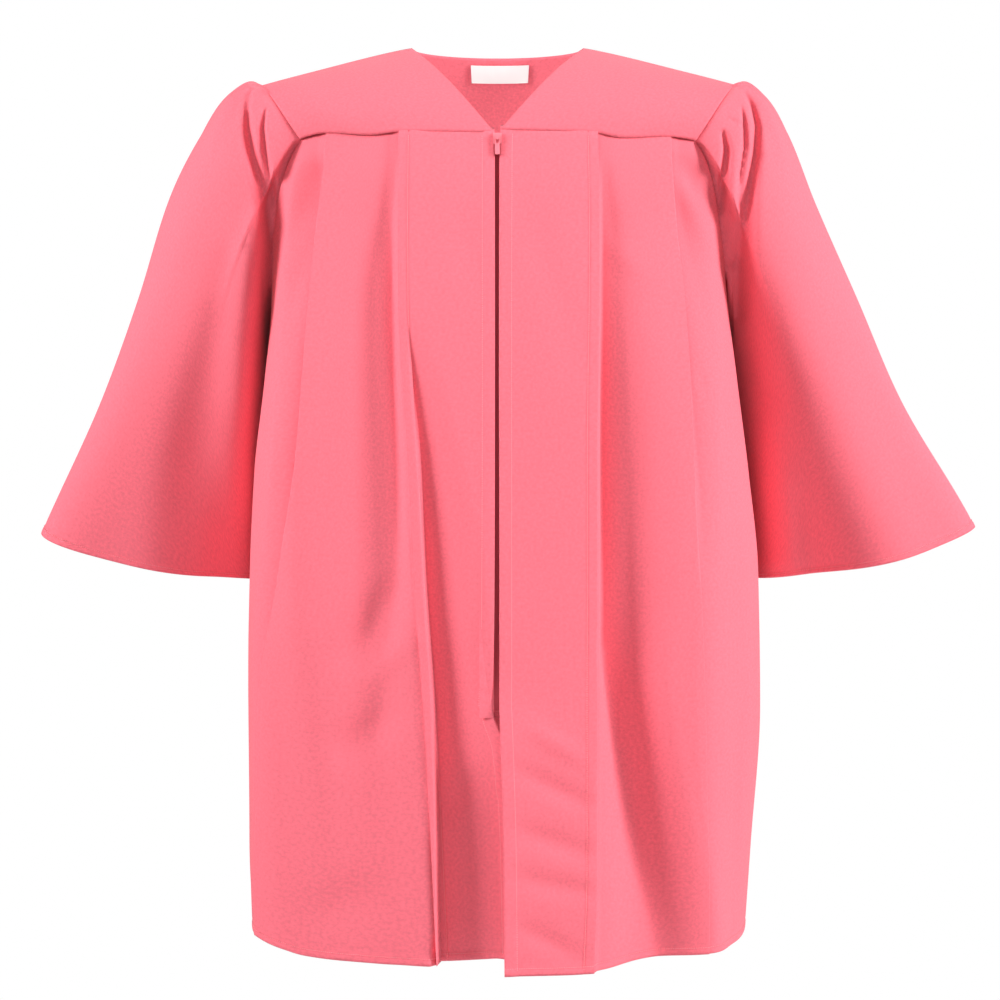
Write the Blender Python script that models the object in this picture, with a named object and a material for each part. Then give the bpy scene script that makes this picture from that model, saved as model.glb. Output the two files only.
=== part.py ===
"""A child's zip-front graduation gown, hollow as it is worn, at real size.

The gown hangs in its own frame: metres, +Z up, the wearer faces -Y and the wearer's left is +X.
The origin is the middle of the neck opening, level with the points where neck and shoulder meet.
Every piece of cloth is a wall with open ends, worked out from plan sections, seam lines and folds.
"""

import bmesh
import bpy
import numpy as np
from mathutils import Matrix, Vector

# Driving sizes
CLOTH = 0.0011
HEM_CLOTH = 0.0022
HEM_HEIGHT = 0.0055
SEAM_GAP = 0.0008
SHOULDER_GAP = 0.0011
ARMHOLE_GAP = 0.0011
UNDERARM_GAP = 0.0007
NECK_HALF = 0.0705
NECK_BACK = 0.045
SHOULDER_TIP_Y = 0.006
SHOULDER_BEND = 1.15
SIDE_Y = 0.005
BACK_POWER = 2.4
UNDERARM_Z = -0.215
HEM_CURVE_TOP = -0.600
HEM_LEVEL = -0.730
BACK_SEAM_Z = -0.110
PLEAT_PITCH = 0.0016
SECTION_POINTS = 241
SIDES = {"right": -1, "left": 1}


class Table:
    """Rows of sizes with named columns, read smoothly between the rows and without overshoot."""

    def __init__(self, columns, rows):
        self.columns = columns.split()
        self.rows = np.array(sorted(rows), float)

    def at(self, column, key):
        keys = self.rows[:, 0]
        values = self.rows[:, self.columns.index(column)]
        steps = np.diff(keys)
        rises = np.diff(values) / steps
        same_way = rises[:-1] * rises[1:] > 0
        total = np.where(same_way, rises[:-1] + rises[1:], 1)
        slopes = np.zeros(len(keys))
        slopes[1:-1] = np.where(same_way, 2 * rises[:-1] * rises[1:] / total, 0)
        slopes[0], slopes[-1] = rises[0], rises[-1]
        key = np.clip(key, keys[0], keys[-1])
        i = np.clip(np.searchsorted(keys, key) - 1, 0, len(steps) - 1)
        u = (key - keys[i]) / steps[i]
        start = (1 + 2 * u) * (1 - u) ** 2 * values[i] + u * (1 - u) ** 2 * steps[i] * slopes[i]
        end = u**2 * (3 - 2 * u) * values[i + 1] - u**2 * (1 - u) * steps[i] * slopes[i + 1]
        return float(start + end)


# Plan section of the worn body at each height: half widths of both sides, reach to front and
# back, and how square the front's section is
BODY = Table(
    "z right left front back front_power",
    [
        (-0.081, 0.1960, 0.1970, 0.082, 0.076, 2.5),
        (-0.110, 0.1930, 0.1935, 0.092, 0.084, 2.5),
        (-0.140, 0.1885, 0.1880, 0.099, 0.091, 2.5),
        (-0.177, 0.1850, 0.1860, 0.104, 0.097, 2.7),
        (-0.215, 0.1840, 0.1885, 0.108, 0.101, 3.0),
        (-0.270, 0.1885, 0.1945, 0.112, 0.105, 3.4),
        (-0.350, 0.1975, 0.2040, 0.116, 0.110, 3.7),
        (-0.430, 0.2010, 0.2115, 0.119, 0.115, 3.8),
        (-0.536, 0.2025, 0.2130, 0.122, 0.120, 3.8),
        (-0.650, 0.2025, 0.2055, 0.124, 0.125, 3.6),
        (-0.736, 0.1990, 0.1995, 0.126, 0.128, 3.5),
    ],
)

# Depth of the armhole's edge at each height, on the front and on the back
ARMHOLE = Table(
    "z front back",
    [
        (-0.082, -0.057, 0.064),
        (-0.110, -0.050, 0.062),
        (-0.140, -0.040, 0.054),
        (-0.170, -0.029, 0.041),
        (-0.195, -0.015, 0.024),
        (-0.215, 0.005, 0.005),
    ],
)

# Seam between front yoke and front, by distance from the centre line
FRONT_SEAM = Table(
    "x right left",
    [
        (0.000, -0.0813, -0.0790),
        (0.077, -0.0803, -0.0812),
        (0.098, -0.0822, -0.0845),
        (0.137, -0.0790, -0.0820),
        (0.172, -0.0865, -0.0850),
    ],
)

# Lower edge of the gown, by the share of the half width
HEM = Table(
    "share right left back",
    [
        (0.00, -0.7262, -0.7358, -0.7330),
        (0.25, -0.7296, -0.7345, -0.7325),
        (0.40, -0.7300, -0.7325, -0.7320),
        (0.57, -0.7290, -0.7280, -0.7300),
        (0.75, -0.7272, -0.7257, -0.7265),
        (0.87, -0.7220, -0.7238, -0.7225),
        (0.95, -0.7155, -0.7210, -0.7175),
        (1.00, -0.7095, -0.7160, -0.7128),
    ],
)

# Front opening: edge of each front, and how far the left front stands off where it laps over
OPENING = Table(
    "z right left lift",
    [
        (-0.078, -0.0024, 0.0024, 0.0),
        (-0.105, -0.0020, 0.0016, 0.0),
        (-0.300, -0.0018, 0.0012, 0.0),
        (-0.450, -0.0022, 0.0012, 0.0),
        (-0.534, -0.0030, 0.0014, 0.0),
        (-0.564, 0.0040, 0.0024, 0.0036),
        (-0.640, 0.0120, 0.0046, 0.0036),
        (-0.736, 0.0140, 0.0056, 0.0036),
    ],
)

# Folds of the knife pleats on the fronts: distance from the centre line
FRONT_FOLDS = Table(
    "z right_1 left_1 right_2 left_2",
    [
        (-0.079, 0.0770, 0.0785, 0.1350, 0.1370),
        (-0.215, 0.0760, 0.0780, 0.1420, 0.1440),
        (-0.340, 0.0690, 0.0765, 0.1510, 0.1490),
        (-0.430, 0.0645, 0.0765, 0.1650, 0.1530),
        (-0.540, 0.0560, 0.0760, 0.1840, 0.1570),
        (-0.650, 0.0500, 0.0755, 0.1880, 0.1590),
        (-0.736, 0.0460, 0.0725, 0.1880, 0.1600),
    ],
)

# Folds of the knife pleats on the back, alike on both sides
BACK_FOLDS = Table(
    "z fold_1 fold_2",
    [
        (-0.109, 0.0520, 0.1150),
        (-0.300, 0.0560, 0.1250),
        (-0.500, 0.0600, 0.1370),
        (-0.736, 0.0640, 0.1480),
    ],
)

# How deep a pleat turns under itself, and how far its layers stand apart lower down
PLEAT = Table(
    "z depth spread",
    [
        (-0.079, 0.0220, 1.0),
        (-0.140, 0.0210, 1.2),
        (-0.250, 0.0190, 1.7),
        (-0.450, 0.0160, 2.2),
        (-0.736, 0.0130, 2.6),
    ],
)

# Broad folds of the hanging cloth: where each starts and ends, how wide and how deep it is
BROAD_FOLDS = {
    ("front", "right"): [
        ((-0.112, -0.230), (-0.100, -0.540), 0.016, -0.0055),
        ((-0.120, -0.560), (-0.076, -0.510), 0.012, -0.0030),
        ((-0.165, -0.420), (-0.130, -0.730), 0.018, -0.0045),
        ((-0.038, -0.590), (-0.031, -0.735), 0.016, -0.0075),
        ((-0.100, -0.600), (-0.105, -0.735), 0.018, 0.0040),
    ],
    ("front", "left"): [
        ((0.137, -0.085), (0.172, -0.145), 0.010, -0.0030),
        ((0.096, -0.230), (0.098, -0.500), 0.018, -0.0085),
        ((0.104, -0.520), (0.134, -0.735), 0.022, -0.0090),
        ((0.151, -0.300), (0.166, -0.700), 0.018, 0.0050),
    ],
    ("back", "right"): [
        ((-0.088, -0.180), (-0.096, -0.735), 0.014, -0.0040),
        ((-0.160, -0.330), (-0.168, -0.735), 0.016, -0.0045),
        ((-0.022, -0.300), (-0.024, -0.735), 0.014, 0.0040),
    ],
    ("back", "left"): [
        ((0.086, -0.200), (0.100, -0.735), 0.014, -0.0040),
        ((0.158, -0.300), (0.172, -0.735), 0.016, -0.0045),
        ((0.024, -0.340), (0.026, -0.735), 0.014, 0.0040),
    ],
}

# A broad fold fades below the seam, runs out past its ends and swells over its first stretch
FOLD_FADE = 0.06
FOLD_RUN_OUT = 0.25
FOLD_SWELL = 0.75

# Points across a half panel: beside the opening, between the two pleats and out to the edge
PLACKET_STEPS = (0.010, 0.028)
BETWEEN_POINTS = 2
OUTER_POINTS = 6

# Heights of the rows of points on the hanging panels
PANEL_ROWS = (
    -0.081, -0.095, -0.115, -0.142, -0.176, UNDERARM_Z, -0.265, -0.330, -0.400,
    -0.470, -0.534, -0.564, -0.620, -0.680, HEM_LEVEL + HEM_HEIGHT, HEM_LEVEL,
)  # fmt: skip
BACK_ROWS = (
    BACK_SEAM_Z, -0.125, -0.148, -0.180, UNDERARM_Z, -0.265, -0.335, -0.410,
    -0.490, -0.570, -0.650, HEM_LEVEL + HEM_HEIGHT, HEM_LEVEL,
)  # fmt: skip

# Outer edge of each sleeve from shoulder to cuff, and the sleeve's reach to front and back
SLEEVE = Table(
    "along right_x right_z left_x left_z front back sag",
    [
        (0.000, 0.1965, -0.0312, 0.1975, -0.0305, 0.060, 0.060, 0.000),
        (0.012, 0.2018, -0.0296, 0.2015, -0.0296, 0.062, 0.061, 0.000),
        (0.060, 0.2190, -0.0398, 0.2175, -0.0400, 0.066, 0.062, 0.000),
        (0.140, 0.2390, -0.0640, 0.2370, -0.0670, 0.070, 0.062, 0.001),
        (0.290, 0.2690, -0.1200, 0.2615, -0.1270, 0.070, 0.059, 0.003),
        (0.500, 0.2958, -0.2040, 0.2965, -0.2075, 0.066, 0.054, 0.006),
        (0.715, 0.3268, -0.2880, 0.3312, -0.2900, 0.062, 0.050, 0.009),
        (0.938, 0.3655, -0.3722, 0.3782, -0.3712, 0.058, 0.047, 0.012),
        (1.000, 0.3765, -0.3960, 0.3905, -0.3935, 0.057, 0.046, 0.012),
    ],
)

# Underarm line of the sleeve: it tucks behind the widest line of the body
UNDERARM = Table(
    "along y z",
    [
        (0.00, 0.005, -0.2158),
        (0.15, 0.018, -0.2480),
        (0.30, 0.030, -0.2800),
        (0.50, 0.042, -0.3260),
        (0.70, 0.052, -0.3720),
        (1.00, 0.058, -0.4370),
    ],
)
UNDERARM_CLEAR = 0.0035
CUFF_SAG_POWER = 1.3
CUFF_SAG_OUTWARD = 0.35
OUTER_POINT_POWER = 1.05
UNDERARM_POINT_POWER = 2.4

# Gathers at the cap of the sleeve: height of the waves by the distance along the sleeve
GATHERS = Table(
    "along height",
    [
        (0.00, 0.0004),
        (0.02, 0.0028),
        (0.05, 0.0044),
        (0.12, 0.0038),
        (0.25, 0.0022),
        (0.45, 0.0010),
        (1.00, 0.0000),
    ],
)
CAP_WAVES = 8
POINTS_PER_WAVE = 4
CAP_ANGLE = 200
LOWER_POINTS = 14
FLUTE_HEIGHT = 0.0035
FLUTES = 5
FLUTE_END = 2.0
FLUTE_FADE = 0.5
WAVE_FADE = 0.2
ARMHOLE_EASE = 0.35
CLEAR_RUN = 0.08
SLEEVE_ROWS = (0, 0.02, 0.05, 0.09, 0.15, 0.23, 0.33, 0.45, 0.58, 0.72, 0.86, 0.985, 1)

# Zip: tapes behind the fronts' edges, closed chain between them, slider at the top, stop below
STOP_HEIGHT = 0.0046
STOP_BEVEL = 0.0004
LAP = 0.0003
SLIDER_CLEAR = 0.0004
TAPE_WIDTH = 0.011
TAPE_THICK = 0.001
CHAIN_HALF = 0.0024
CHAIN_THICK = 0.0018
CHAIN_TAPE_GAP = 0.0004
ZIP_SET_BACK = 0.0016
ZIP_TOP = -0.0885
ZIP_BOTTOM = -0.534
TAPE_TOP = -0.0835
TAPE_BOTTOM = -0.5395
SLIDER_WIDTH = 0.0070
SLIDER_HEIGHT = 0.0095
SLIDER_PLATE = 0.0010
SLIDER_TOP = -0.0836
SLIDER_NECK_WIDTH = 0.0022
SLIDER_NECK_HEIGHT = 0.0040
CROWN_WIDTH = 0.0014
CROWN_BAR = 0.0008
CROWN_INSIDE = 0.0017
CROWN_HEIGHT = 0.0048
TAB_WIDTH = 0.0038
TAB_THICK = 0.0009
TAB_LENGTH = 0.0142
TAB_EYE_WIDTH = 0.0022
TAB_EYE_LENGTH = 0.0044

# Back yoke: places of its columns along the neck, and of its rows down to the seam
NECK_PARTS = (
    -1, -0.95, -0.86, -0.73, -0.60, -0.46, -0.326, -0.18, -0.04,
    0.10, 0.24, 0.383, 0.50, 0.62, 0.74, 0.86, 0.95, 1,
)  # fmt: skip
BACK_YOKE_ROWS = (0, 0.055, 0.190, 0.35, 0.52, 0.68, 0.84, 1)

# Points across and down a yoke, and how round each yoke runs over the shoulder
YOKE_REACH = 0.180
YOKE_ACROSS = 14
YOKE_DOWN = 7
SHOULDER_ACROSS = 8
FLAT_ROLL = 0.35
FRONT_ROUNDNESS = 0.45
BACK_ROUNDNESS = 0.12
BACK_ROUND_START = 0.08
BACK_ROUND_RUN = 0.72

# Size label inside the back of the neck: it covers these columns and rows of the back yoke
LABEL_COLUMNS = slice(6, 12)
LABEL_FIRST_ROW = 1
LABEL_THICK = 0.0010
LABEL_GAP = 0.0004
SLOPE_STEP = 0.004

SALMON = (0.95, 0.20, 0.25, 1)
ZIP_RED = (0.55, 0.04, 0.05, 1)
METAL_PAINT = (0.86, 0.22, 0.27, 1)
WHITE = (0.90, 0.90, 0.89, 1)


def clear_scene():
    for obj in list(bpy.data.objects):
        bpy.data.objects.remove(obj, do_unlink=True)


def material(name, colour, roughness, metallic=0.0):
    made = bpy.data.materials.new(name)
    made.use_nodes = True
    shader = made.node_tree.nodes["Principled BSDF"]
    shader.inputs["Base Color"].default_value = colour
    shader.inputs["Roughness"].default_value = roughness
    shader.inputs["Metallic"].default_value = metallic
    return made


def place(mesh_name, bm, stuff):
    mesh = bpy.data.meshes.new(mesh_name)
    bm.to_mesh(mesh)
    bm.free()
    mesh.materials.append(stuff)
    obj = bpy.data.objects.new(mesh_name, mesh)
    bpy.context.scene.collection.objects.link(obj)
    return obj


def cloth(name, rows, stuff, thickness=CLOTH, ring=False, hem_rows=0):
    """A wall of cloth through rows of points. A ring closes on itself. The hem rows are double."""
    rows = [list(row) + [row[0]] if ring else list(row) for row in rows]
    across, down = len(rows[0]), len(rows)
    bm = bmesh.new()
    bmesh.ops.create_grid(bm, x_segments=across - 1, y_segments=down - 1, size=1)
    bm.verts.ensure_lookup_table()
    for i, point in enumerate(point for row in rows for point in row):
        bm.verts[i].co = point
    layer = bm.verts.layers.deform.verify()
    for vert in bm.verts[(down - hem_rows) * across:] if hem_rows else ():
        vert[layer][0] = 1.0
    if ring:
        bmesh.ops.remove_doubles(bm, verts=bm.verts, dist=1e-6)
    bmesh.ops.triangulate(bm, faces=bm.faces, quad_method="SHORT_EDGE")
    obj = place(name, bm, stuff)
    obj.data.shade_smooth()
    wall = obj.modifiers.new("Cloth thickness", "SOLIDIFY")
    wall.offset = 0
    wall.use_even_offset = True
    wall.thickness = thickness
    if hem_rows:
        wall.thickness = HEM_CLOTH
        wall.vertex_group = obj.vertex_groups.new(name="Hem").name
        wall.thickness_vertex_group = thickness / HEM_CLOTH
    return obj


def box(bm, low, high):
    """A block between two corners, added to a mesh."""
    low, high = Vector(low), Vector(high)
    size = Matrix.Diagonal(high - low).to_4x4()
    bmesh.ops.create_cube(bm, size=1, matrix=Matrix.Translation((low + high) / 2) @ size)


def empty(name, location):
    made = bpy.data.objects.new(name, None)
    made.location = location
    bpy.context.scene.collection.objects.link(made)
    return made


def blocks(name, corners, stuff, bevel=0.0):
    """Blocks that overlap one another, joined into one hard piece with softened edges."""
    helpers = []
    for i, (low, high) in enumerate(corners):
        bm = bmesh.new()
        box(bm, low, high)
        helpers.append(place(f"{name}_block_{i}", bm, stuff))
    body = helpers[0]
    body.name = name
    for helper in helpers[1:]:
        helper.hide_render = True
        helper.display_type = "WIRE"
        joined = body.modifiers.new("Join", "BOOLEAN")
        joined.operation = "UNION"
        joined.object = helper
    if bevel:
        soft = body.modifiers.new("Soft edges", "BEVEL")
        soft.width = bevel
        soft.segments = 1
    return body


def section(facing, side, z):
    """The body's plan section at a height, from its centre line to its side: lengths, points, normals."""
    half = BODY.at(side, z)
    reach = BODY.at(facing, z) + (SIDE_Y if facing == "front" else -SIDE_Y)
    power = BODY.at("front_power", z) if facing == "front" else BACK_POWER
    sign = -1 if facing == "front" else 1
    turn = np.linspace(0, np.pi / 2, SECTION_POINTS)
    x = half * np.sin(turn) ** (2 / power)
    y = SIDE_Y + sign * reach * np.abs(np.cos(turn)) ** (2 / power)
    length = np.concatenate([[0], np.cumsum(np.hypot(np.diff(x), np.diff(y)))])
    run_x, run_y = np.gradient(x, length), np.gradient(y, length)
    steep = np.hypot(run_x, run_y)
    return {
        "length": length,
        "x": x,
        "y": y,
        "normal_x": -sign * run_y / steep,
        "normal_y": sign * run_x / steep,
    }


def length_at_x(plan, x):
    """Length along the section where it reaches this distance from the centre line."""
    return np.interp(abs(x), plan["x"], plan["length"]) * (1 if x >= 0 else -1)


def length_at_y(plan, y):
    """Length along the section where it reaches this depth."""
    order = 1 if plan["y"][-1] > plan["y"][0] else -1
    return float(np.interp(y, plan["y"][::order], plan["length"][::order]))


def on_section(plan, side, length, offset, z):
    """The point this far along the section and this far outside it."""
    at = abs(length)
    beyond = -1 if length < 0 else 1
    x = np.interp(at, plan["length"], plan["x"])
    y = np.interp(at, plan["length"], plan["y"])
    normal_x = np.interp(at, plan["length"], plan["normal_x"])
    normal_y = np.interp(at, plan["length"], plan["normal_y"])
    return Vector((SIDES[side] * beyond * (x + normal_x * offset), y + normal_y * offset, z))


def broad_fold(facing, side, x, z):
    """How far the broad folds move the cloth out or in at this place of a panel."""
    moved = 0.0
    for start, end, width, depth in BROAD_FOLDS[facing, side]:
        start, end, here = np.array(start), np.array(end), np.array((x, z))
        run = end - start
        share = np.clip(
            np.dot(here - start, run) / np.dot(run, run), -FOLD_RUN_OUT, 1 + FOLD_RUN_OUT
        )
        beside = np.linalg.norm(here - start - share * run) / width
        fade = np.sin(np.pi * np.clip((share + FOLD_RUN_OUT) / FOLD_SWELL, 0, 1) / 2)
        moved += depth * fade * np.exp(-(beside**2))
    return moved


def pleat(fold, depth, pitch, base):
    """Mid line of a knife pleat, walked outward: upper layer, roll, middle layer, roll, lower layer."""
    roll = pitch / 2
    near, far = fold - depth + roll, fold - roll
    return [
        (near, base + 2 * pitch),
        (far, base + 2 * pitch),
        (fold, base + 1.5 * pitch),
        (far, base + pitch),
        (near, base + pitch),
        (fold - depth, base + 0.5 * pitch),
        (near, base),
        (far, base),
    ]


def spaced(start, end, count):
    """Lengths strictly between two others, evenly spaced."""
    return [start + (end - start) * (i + 1) / (count + 1) for i in range(count)]


def hem_weight(z):
    """How far a row has gone to the hem from where the hem's curve begins."""
    return float(np.clip((z - HEM_CURVE_TOP) / (PANEL_ROWS[-1] - HEM_CURVE_TOP), 0, 1))


def panel_end(facing, plan, z):
    """Length along the section of the panel's outer edge: the armhole, and the side seam below it."""
    seam = SIDE_Y + (-SEAM_GAP / 2 if facing == "front" else SEAM_GAP / 2)
    if z <= UNDERARM_Z:
        return length_at_y(plan, seam)
    depth = ARMHOLE.at(facing, z)
    depth = min(depth, seam) if facing == "front" else max(depth, seam)
    return length_at_y(plan, depth)


def walk(facing, side, z, start, folds, inner):
    """Lengths and offsets across one half panel: from its start over two pleats to its outer edge."""
    plan = section(facing, side, z)
    pitch = PLEAT_PITCH * PLEAT.at("spread", z)
    depth = PLEAT.at("depth", z)
    first, second = (length_at_x(plan, fold) for fold in folds)
    end = panel_end(facing, plan, z)
    begin = length_at_x(plan, start)
    upper = pleat(first, depth, pitch, 2 * pitch)
    lower = pleat(second, depth, pitch, 0)
    middle = spaced(upper[-1][0], lower[0][0], BETWEEN_POINTS)
    line = [(begin + step, 4 * pitch) for step in (0, *inner)]
    line += [(at, 4 * pitch) for at in spaced(line[-1][0], upper[0][0], 1)]
    line += upper + [(at, 2 * pitch) for at in middle] + lower
    line += [(at, 0) for at in spaced(lower[-1][0], end, OUTER_POINTS)] + [(end, 0)]
    return plan, line


def front_row(side, z):
    """One row of points across a front, from its opening edge to armhole or side seam."""
    edge = OPENING.at(side, z) * SIDES[side]
    folds = [FRONT_FOLDS.at(f"{side}_{i}", z) for i in (1, 2)]
    plan, line = walk("front", side, z, edge, folds, PLACKET_STEPS)
    lift = OPENING.at("lift", z) if side == "left" else 0
    first_fold = length_at_x(plan, folds[0])
    row = []
    for length, offset in line:
        offset += lift * float(np.clip(1 - (length - line[0][0]) / first_fold, 0, 1))
        bare = on_section(plan, side, length, 0, z)
        share = min(abs(bare.x) / BODY.at(side, z), 1)
        top = FRONT_SEAM.at(side, abs(bare.x)) - SEAM_GAP / 2 - PANEL_ROWS[0]
        bottom = HEM.at(side, share) - PANEL_ROWS[-1]
        low = hem_weight(z)
        high = float(np.clip((z - UNDERARM_Z) / (PANEL_ROWS[0] - UNDERARM_Z), 0, 1))
        moved = broad_fold("front", side, bare.x, z) * np.clip((PANEL_ROWS[0] - z) / FOLD_FADE, 0, 1)
        height = z + top * high + bottom * low
        row.append(on_section(section("front", side, height), side, length, offset + moved, height))
    return row


def make_front(side, stuff):
    rows = [front_row(side, z) for z in PANEL_ROWS]
    return cloth(f"front_{side}", rows, stuff, hem_rows=2)


def back_row(z):
    """One row of points across the back, from the wearer's right to the left."""
    halves = {}
    for side in SIDES:
        folds = [BACK_FOLDS.at(f"fold_{i}", z) for i in (1, 2)]
        plan, line = walk("back", side, z, 0.0, folds, ())
        row = []
        for length, offset in line:
            bare = on_section(plan, side, length, 0, z)
            share = min(abs(bare.x) / BODY.at(side, z), 1)
            seam_z = HEM.at("back", share) + (HEM.at(side, 1) - HEM.at("back", 1)) * share**6
            fade = np.clip((BACK_SEAM_Z - z) / FOLD_FADE, 0, 1)
            moved = broad_fold("back", side, bare.x, z) * fade
            height = z + (seam_z - BACK_ROWS[-1]) * hem_weight(z)
            moved_plan = section("back", side, height)
            row.append(on_section(moved_plan, side, length, offset + moved, height))
        halves[side] = row
    return halves["right"][:0:-1] + halves["left"]


def make_back(stuff):
    return cloth("back", [back_row(z) for z in BACK_ROWS], stuff, hem_rows=2)


def shoulder_point(side, share):
    """A point of the shoulder line, from the neck to the tip of the shoulder."""
    tip_x = SLEEVE.at(f"{side}_x", 0)
    tip_z = SLEEVE.at(f"{side}_z", 0)
    x = NECK_HALF + (tip_x - NECK_HALF) * share
    return Vector((SIDES[side] * x, SHOULDER_TIP_Y * share, tip_z * share**SHOULDER_BEND))


def seam_offset(x):
    """How far outside the section a yoke's lower edge lies: it covers the pleats' layers."""
    return 4 * PLEAT_PITCH * (1 - (x / YOKE_REACH) ** 2)


def front_seam_point(side, share):
    """A point of the front yoke's lower edge, from the opening to the armhole."""
    z = PANEL_ROWS[0]
    plan = section("front", side, z)
    start = length_at_x(plan, abs(OPENING.at(side, z)))
    end = panel_end("front", plan, z)
    length = start + (end - start) * share
    x = abs(on_section(plan, side, length, 0, z).x)
    height = FRONT_SEAM.at(side, x) + SEAM_GAP / 2
    return on_section(section("front", side, height), side, length, seam_offset(x), height)


def rolled(top, bottom, down, roundness):
    """A point between a top edge and a bottom edge, over a round or a flatter shoulder."""
    round_z = 1 - np.cos(np.pi * down / 2)
    z_share = down + (round_z - down) * roundness
    y_share = down + (np.sin(np.pi * down / 2) - down) * (FLAT_ROLL + (1 - FLAT_ROLL) * roundness)
    return Vector(
        (
            top.x + (bottom.x - top.x) * down ** (1 + 0.5 * roundness),
            top.y + (bottom.y - top.y) * y_share,
            top.z + (bottom.z - top.z) * z_share,
        )
    )


def front_yoke_point(side, across, down):
    top = shoulder_point(side, across)
    top.y -= SHOULDER_GAP / 2
    roundness = FRONT_ROUNDNESS + (1 - FRONT_ROUNDNESS) * across
    return rolled(top, front_seam_point(side, across), down, roundness)


def back_yoke_top(across):
    """The back yoke's upper edge from tip to tip: shoulder lines and back neckline."""
    side = "left" if across >= 0 else "right"
    neck = neck_share(side)
    if abs(across) >= neck:
        point = shoulder_point(side, (abs(across) - neck) / (1 - neck))
        point.y += SHOULDER_GAP / 2
        return point
    part = across / neck
    return Vector((NECK_HALF * part, NECK_BACK * (1 - part * part) ** 0.5 + SHOULDER_GAP / 2, 0))


def back_yoke_point(across, down):
    side = "left" if across >= 0 else "right"
    plan = section("back", side, BACK_SEAM_Z)
    length = panel_end("back", plan, BACK_SEAM_Z) * abs(across)
    x = abs(on_section(plan, side, length, 0, 0).x)
    bottom = on_section(plan, side, length, seam_offset(x), BACK_SEAM_Z + SEAM_GAP)
    shoulder = float(np.clip((abs(across) - BACK_ROUND_START) / BACK_ROUND_RUN, 0, 1))
    shoulder = shoulder * shoulder * (3 - 2 * shoulder)
    roundness = BACK_ROUNDNESS + (1 - BACK_ROUNDNESS) * shoulder
    return rolled(back_yoke_top(across), bottom, down, roundness)


def neck_share(side):
    """The neck's share of the back yoke's upper edge."""
    return NECK_HALF / SLEEVE.at(f"{side}_x", 0)


def make_yokes(stuff):
    for side in SIDES:
        across = np.linspace(0, 1, YOKE_ACROSS)
        down = np.linspace(0, 1, YOKE_DOWN)
        rows = [[front_yoke_point(side, a, d) for a in across] for d in down]
        cloth(f"yoke_front_{side}", rows, stuff)
    outer = {side: np.linspace(neck_share(side), 1, SHOULDER_ACROSS)[1:] for side in SIDES}
    neck = [part * neck_share("right" if part < 0 else "left") for part in NECK_PARTS]
    across = [*-outer["right"][::-1], *neck, *outer["left"]]
    rows = [[back_yoke_point(a, d) for a in across] for d in BACK_YOKE_ROWS]
    cloth("yoke_back", rows, stuff)


def armhole_loop(side):
    """The armhole's seam line from the tip of the shoulder down the front and up the back."""
    front_top = FRONT_SEAM.at(side, FRONT_SEAM.rows[-1, 0])
    down = np.linspace(0, 1, 25)
    line = [front_yoke_point(side, 1, d) for d in down]
    for z in np.linspace(front_top, UNDERARM_Z, 30)[1:]:
        plan = section("front", side, z)
        line.append(on_section(plan, side, panel_end("front", plan, z), 0, z))
    for z in np.linspace(UNDERARM_Z, BACK_SEAM_Z, 26)[1:]:
        plan = section("back", side, z)
        line.append(on_section(plan, side, panel_end("back", plan, z), 0, z))
    line += [back_yoke_point(SIDES[side], d) for d in down[::-1]]
    return np.array(line), len(down) - 1, len(line) - len(down)


def sleeve_angles():
    """Angle of each point round the sleeve, from the outer edge over the front to the underarm."""
    cap = CAP_WAVES * POINTS_PER_WAVE
    angles = [(-CAP_ANGLE / 2 + CAP_ANGLE * i / cap) for i in range(cap)]
    rest = 360 - CAP_ANGLE
    angles += [CAP_ANGLE / 2 + rest * i / LOWER_POINTS for i in range(LOWER_POINTS)]
    return np.radians(angles)


def armhole_points(side, angles):
    """The armhole's seam line, sampled at the sleeve's points."""
    line, front_notch, back_notch = armhole_loop(side)
    length = np.concatenate([[0], np.cumsum(np.linalg.norm(np.diff(line, axis=0), axis=1))])
    total = length[-1]
    cap = np.radians(CAP_ANGLE / 2)
    knots = [0, cap, np.pi, 2 * np.pi - cap, 2 * np.pi]
    underarm = length[int(np.argmin(line[:, 2]))]
    lengths = [0, length[front_notch], underarm, length[back_notch], total]
    at = np.interp(angles % (2 * np.pi), knots, lengths)
    return np.array([[np.interp(a, length, line[:, k]) for k in range(3)] for a in at])


def sleeve_oval(side, along, angles):
    """The sleeve's section at a distance along it: an oval from its outer edge to the underarm."""
    outer = np.array(
        (SIDES[side] * SLEEVE.at(f"{side}_x", along), SHOULDER_TIP_Y, SLEEVE.at(f"{side}_z", along))
    )
    y, z = UNDERARM.at("y", along), UNDERARM.at("z", along)
    plan = section("back", side, z)
    wall = on_section(plan, side, length_at_y(plan, max(y, SIDE_Y)), 0, z)
    clear = UNDERARM_CLEAR * min(along / CLEAR_RUN, 1)
    inner = np.array((wall.x + SIDES[side] * clear, y, z))
    centre, half = (outer + inner) / 2, (outer - inner) / 2
    points = centre + np.cos(angles)[:, None] * half
    inward = (1 - np.cos(angles)) / 2
    inward = np.where(np.sin(angles) > 0, inward, 0)
    power = OUTER_POINT_POWER + (UNDERARM_POINT_POWER - OUTER_POINT_POWER) * inward
    swell = np.abs(np.sin(angles)) ** power
    front, back = SLEEVE.at("front", along), SLEEVE.at("back", along)
    points[:, 1] += np.where(np.sin(angles) > 0, -front, back) * swell
    sag = np.abs(np.sin(angles)) ** CUFF_SAG_POWER * (1 + CUFF_SAG_OUTWARD * np.cos(angles))
    points[:, 2] -= SLEEVE.at("sag", along) * sag
    return points, centre


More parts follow.
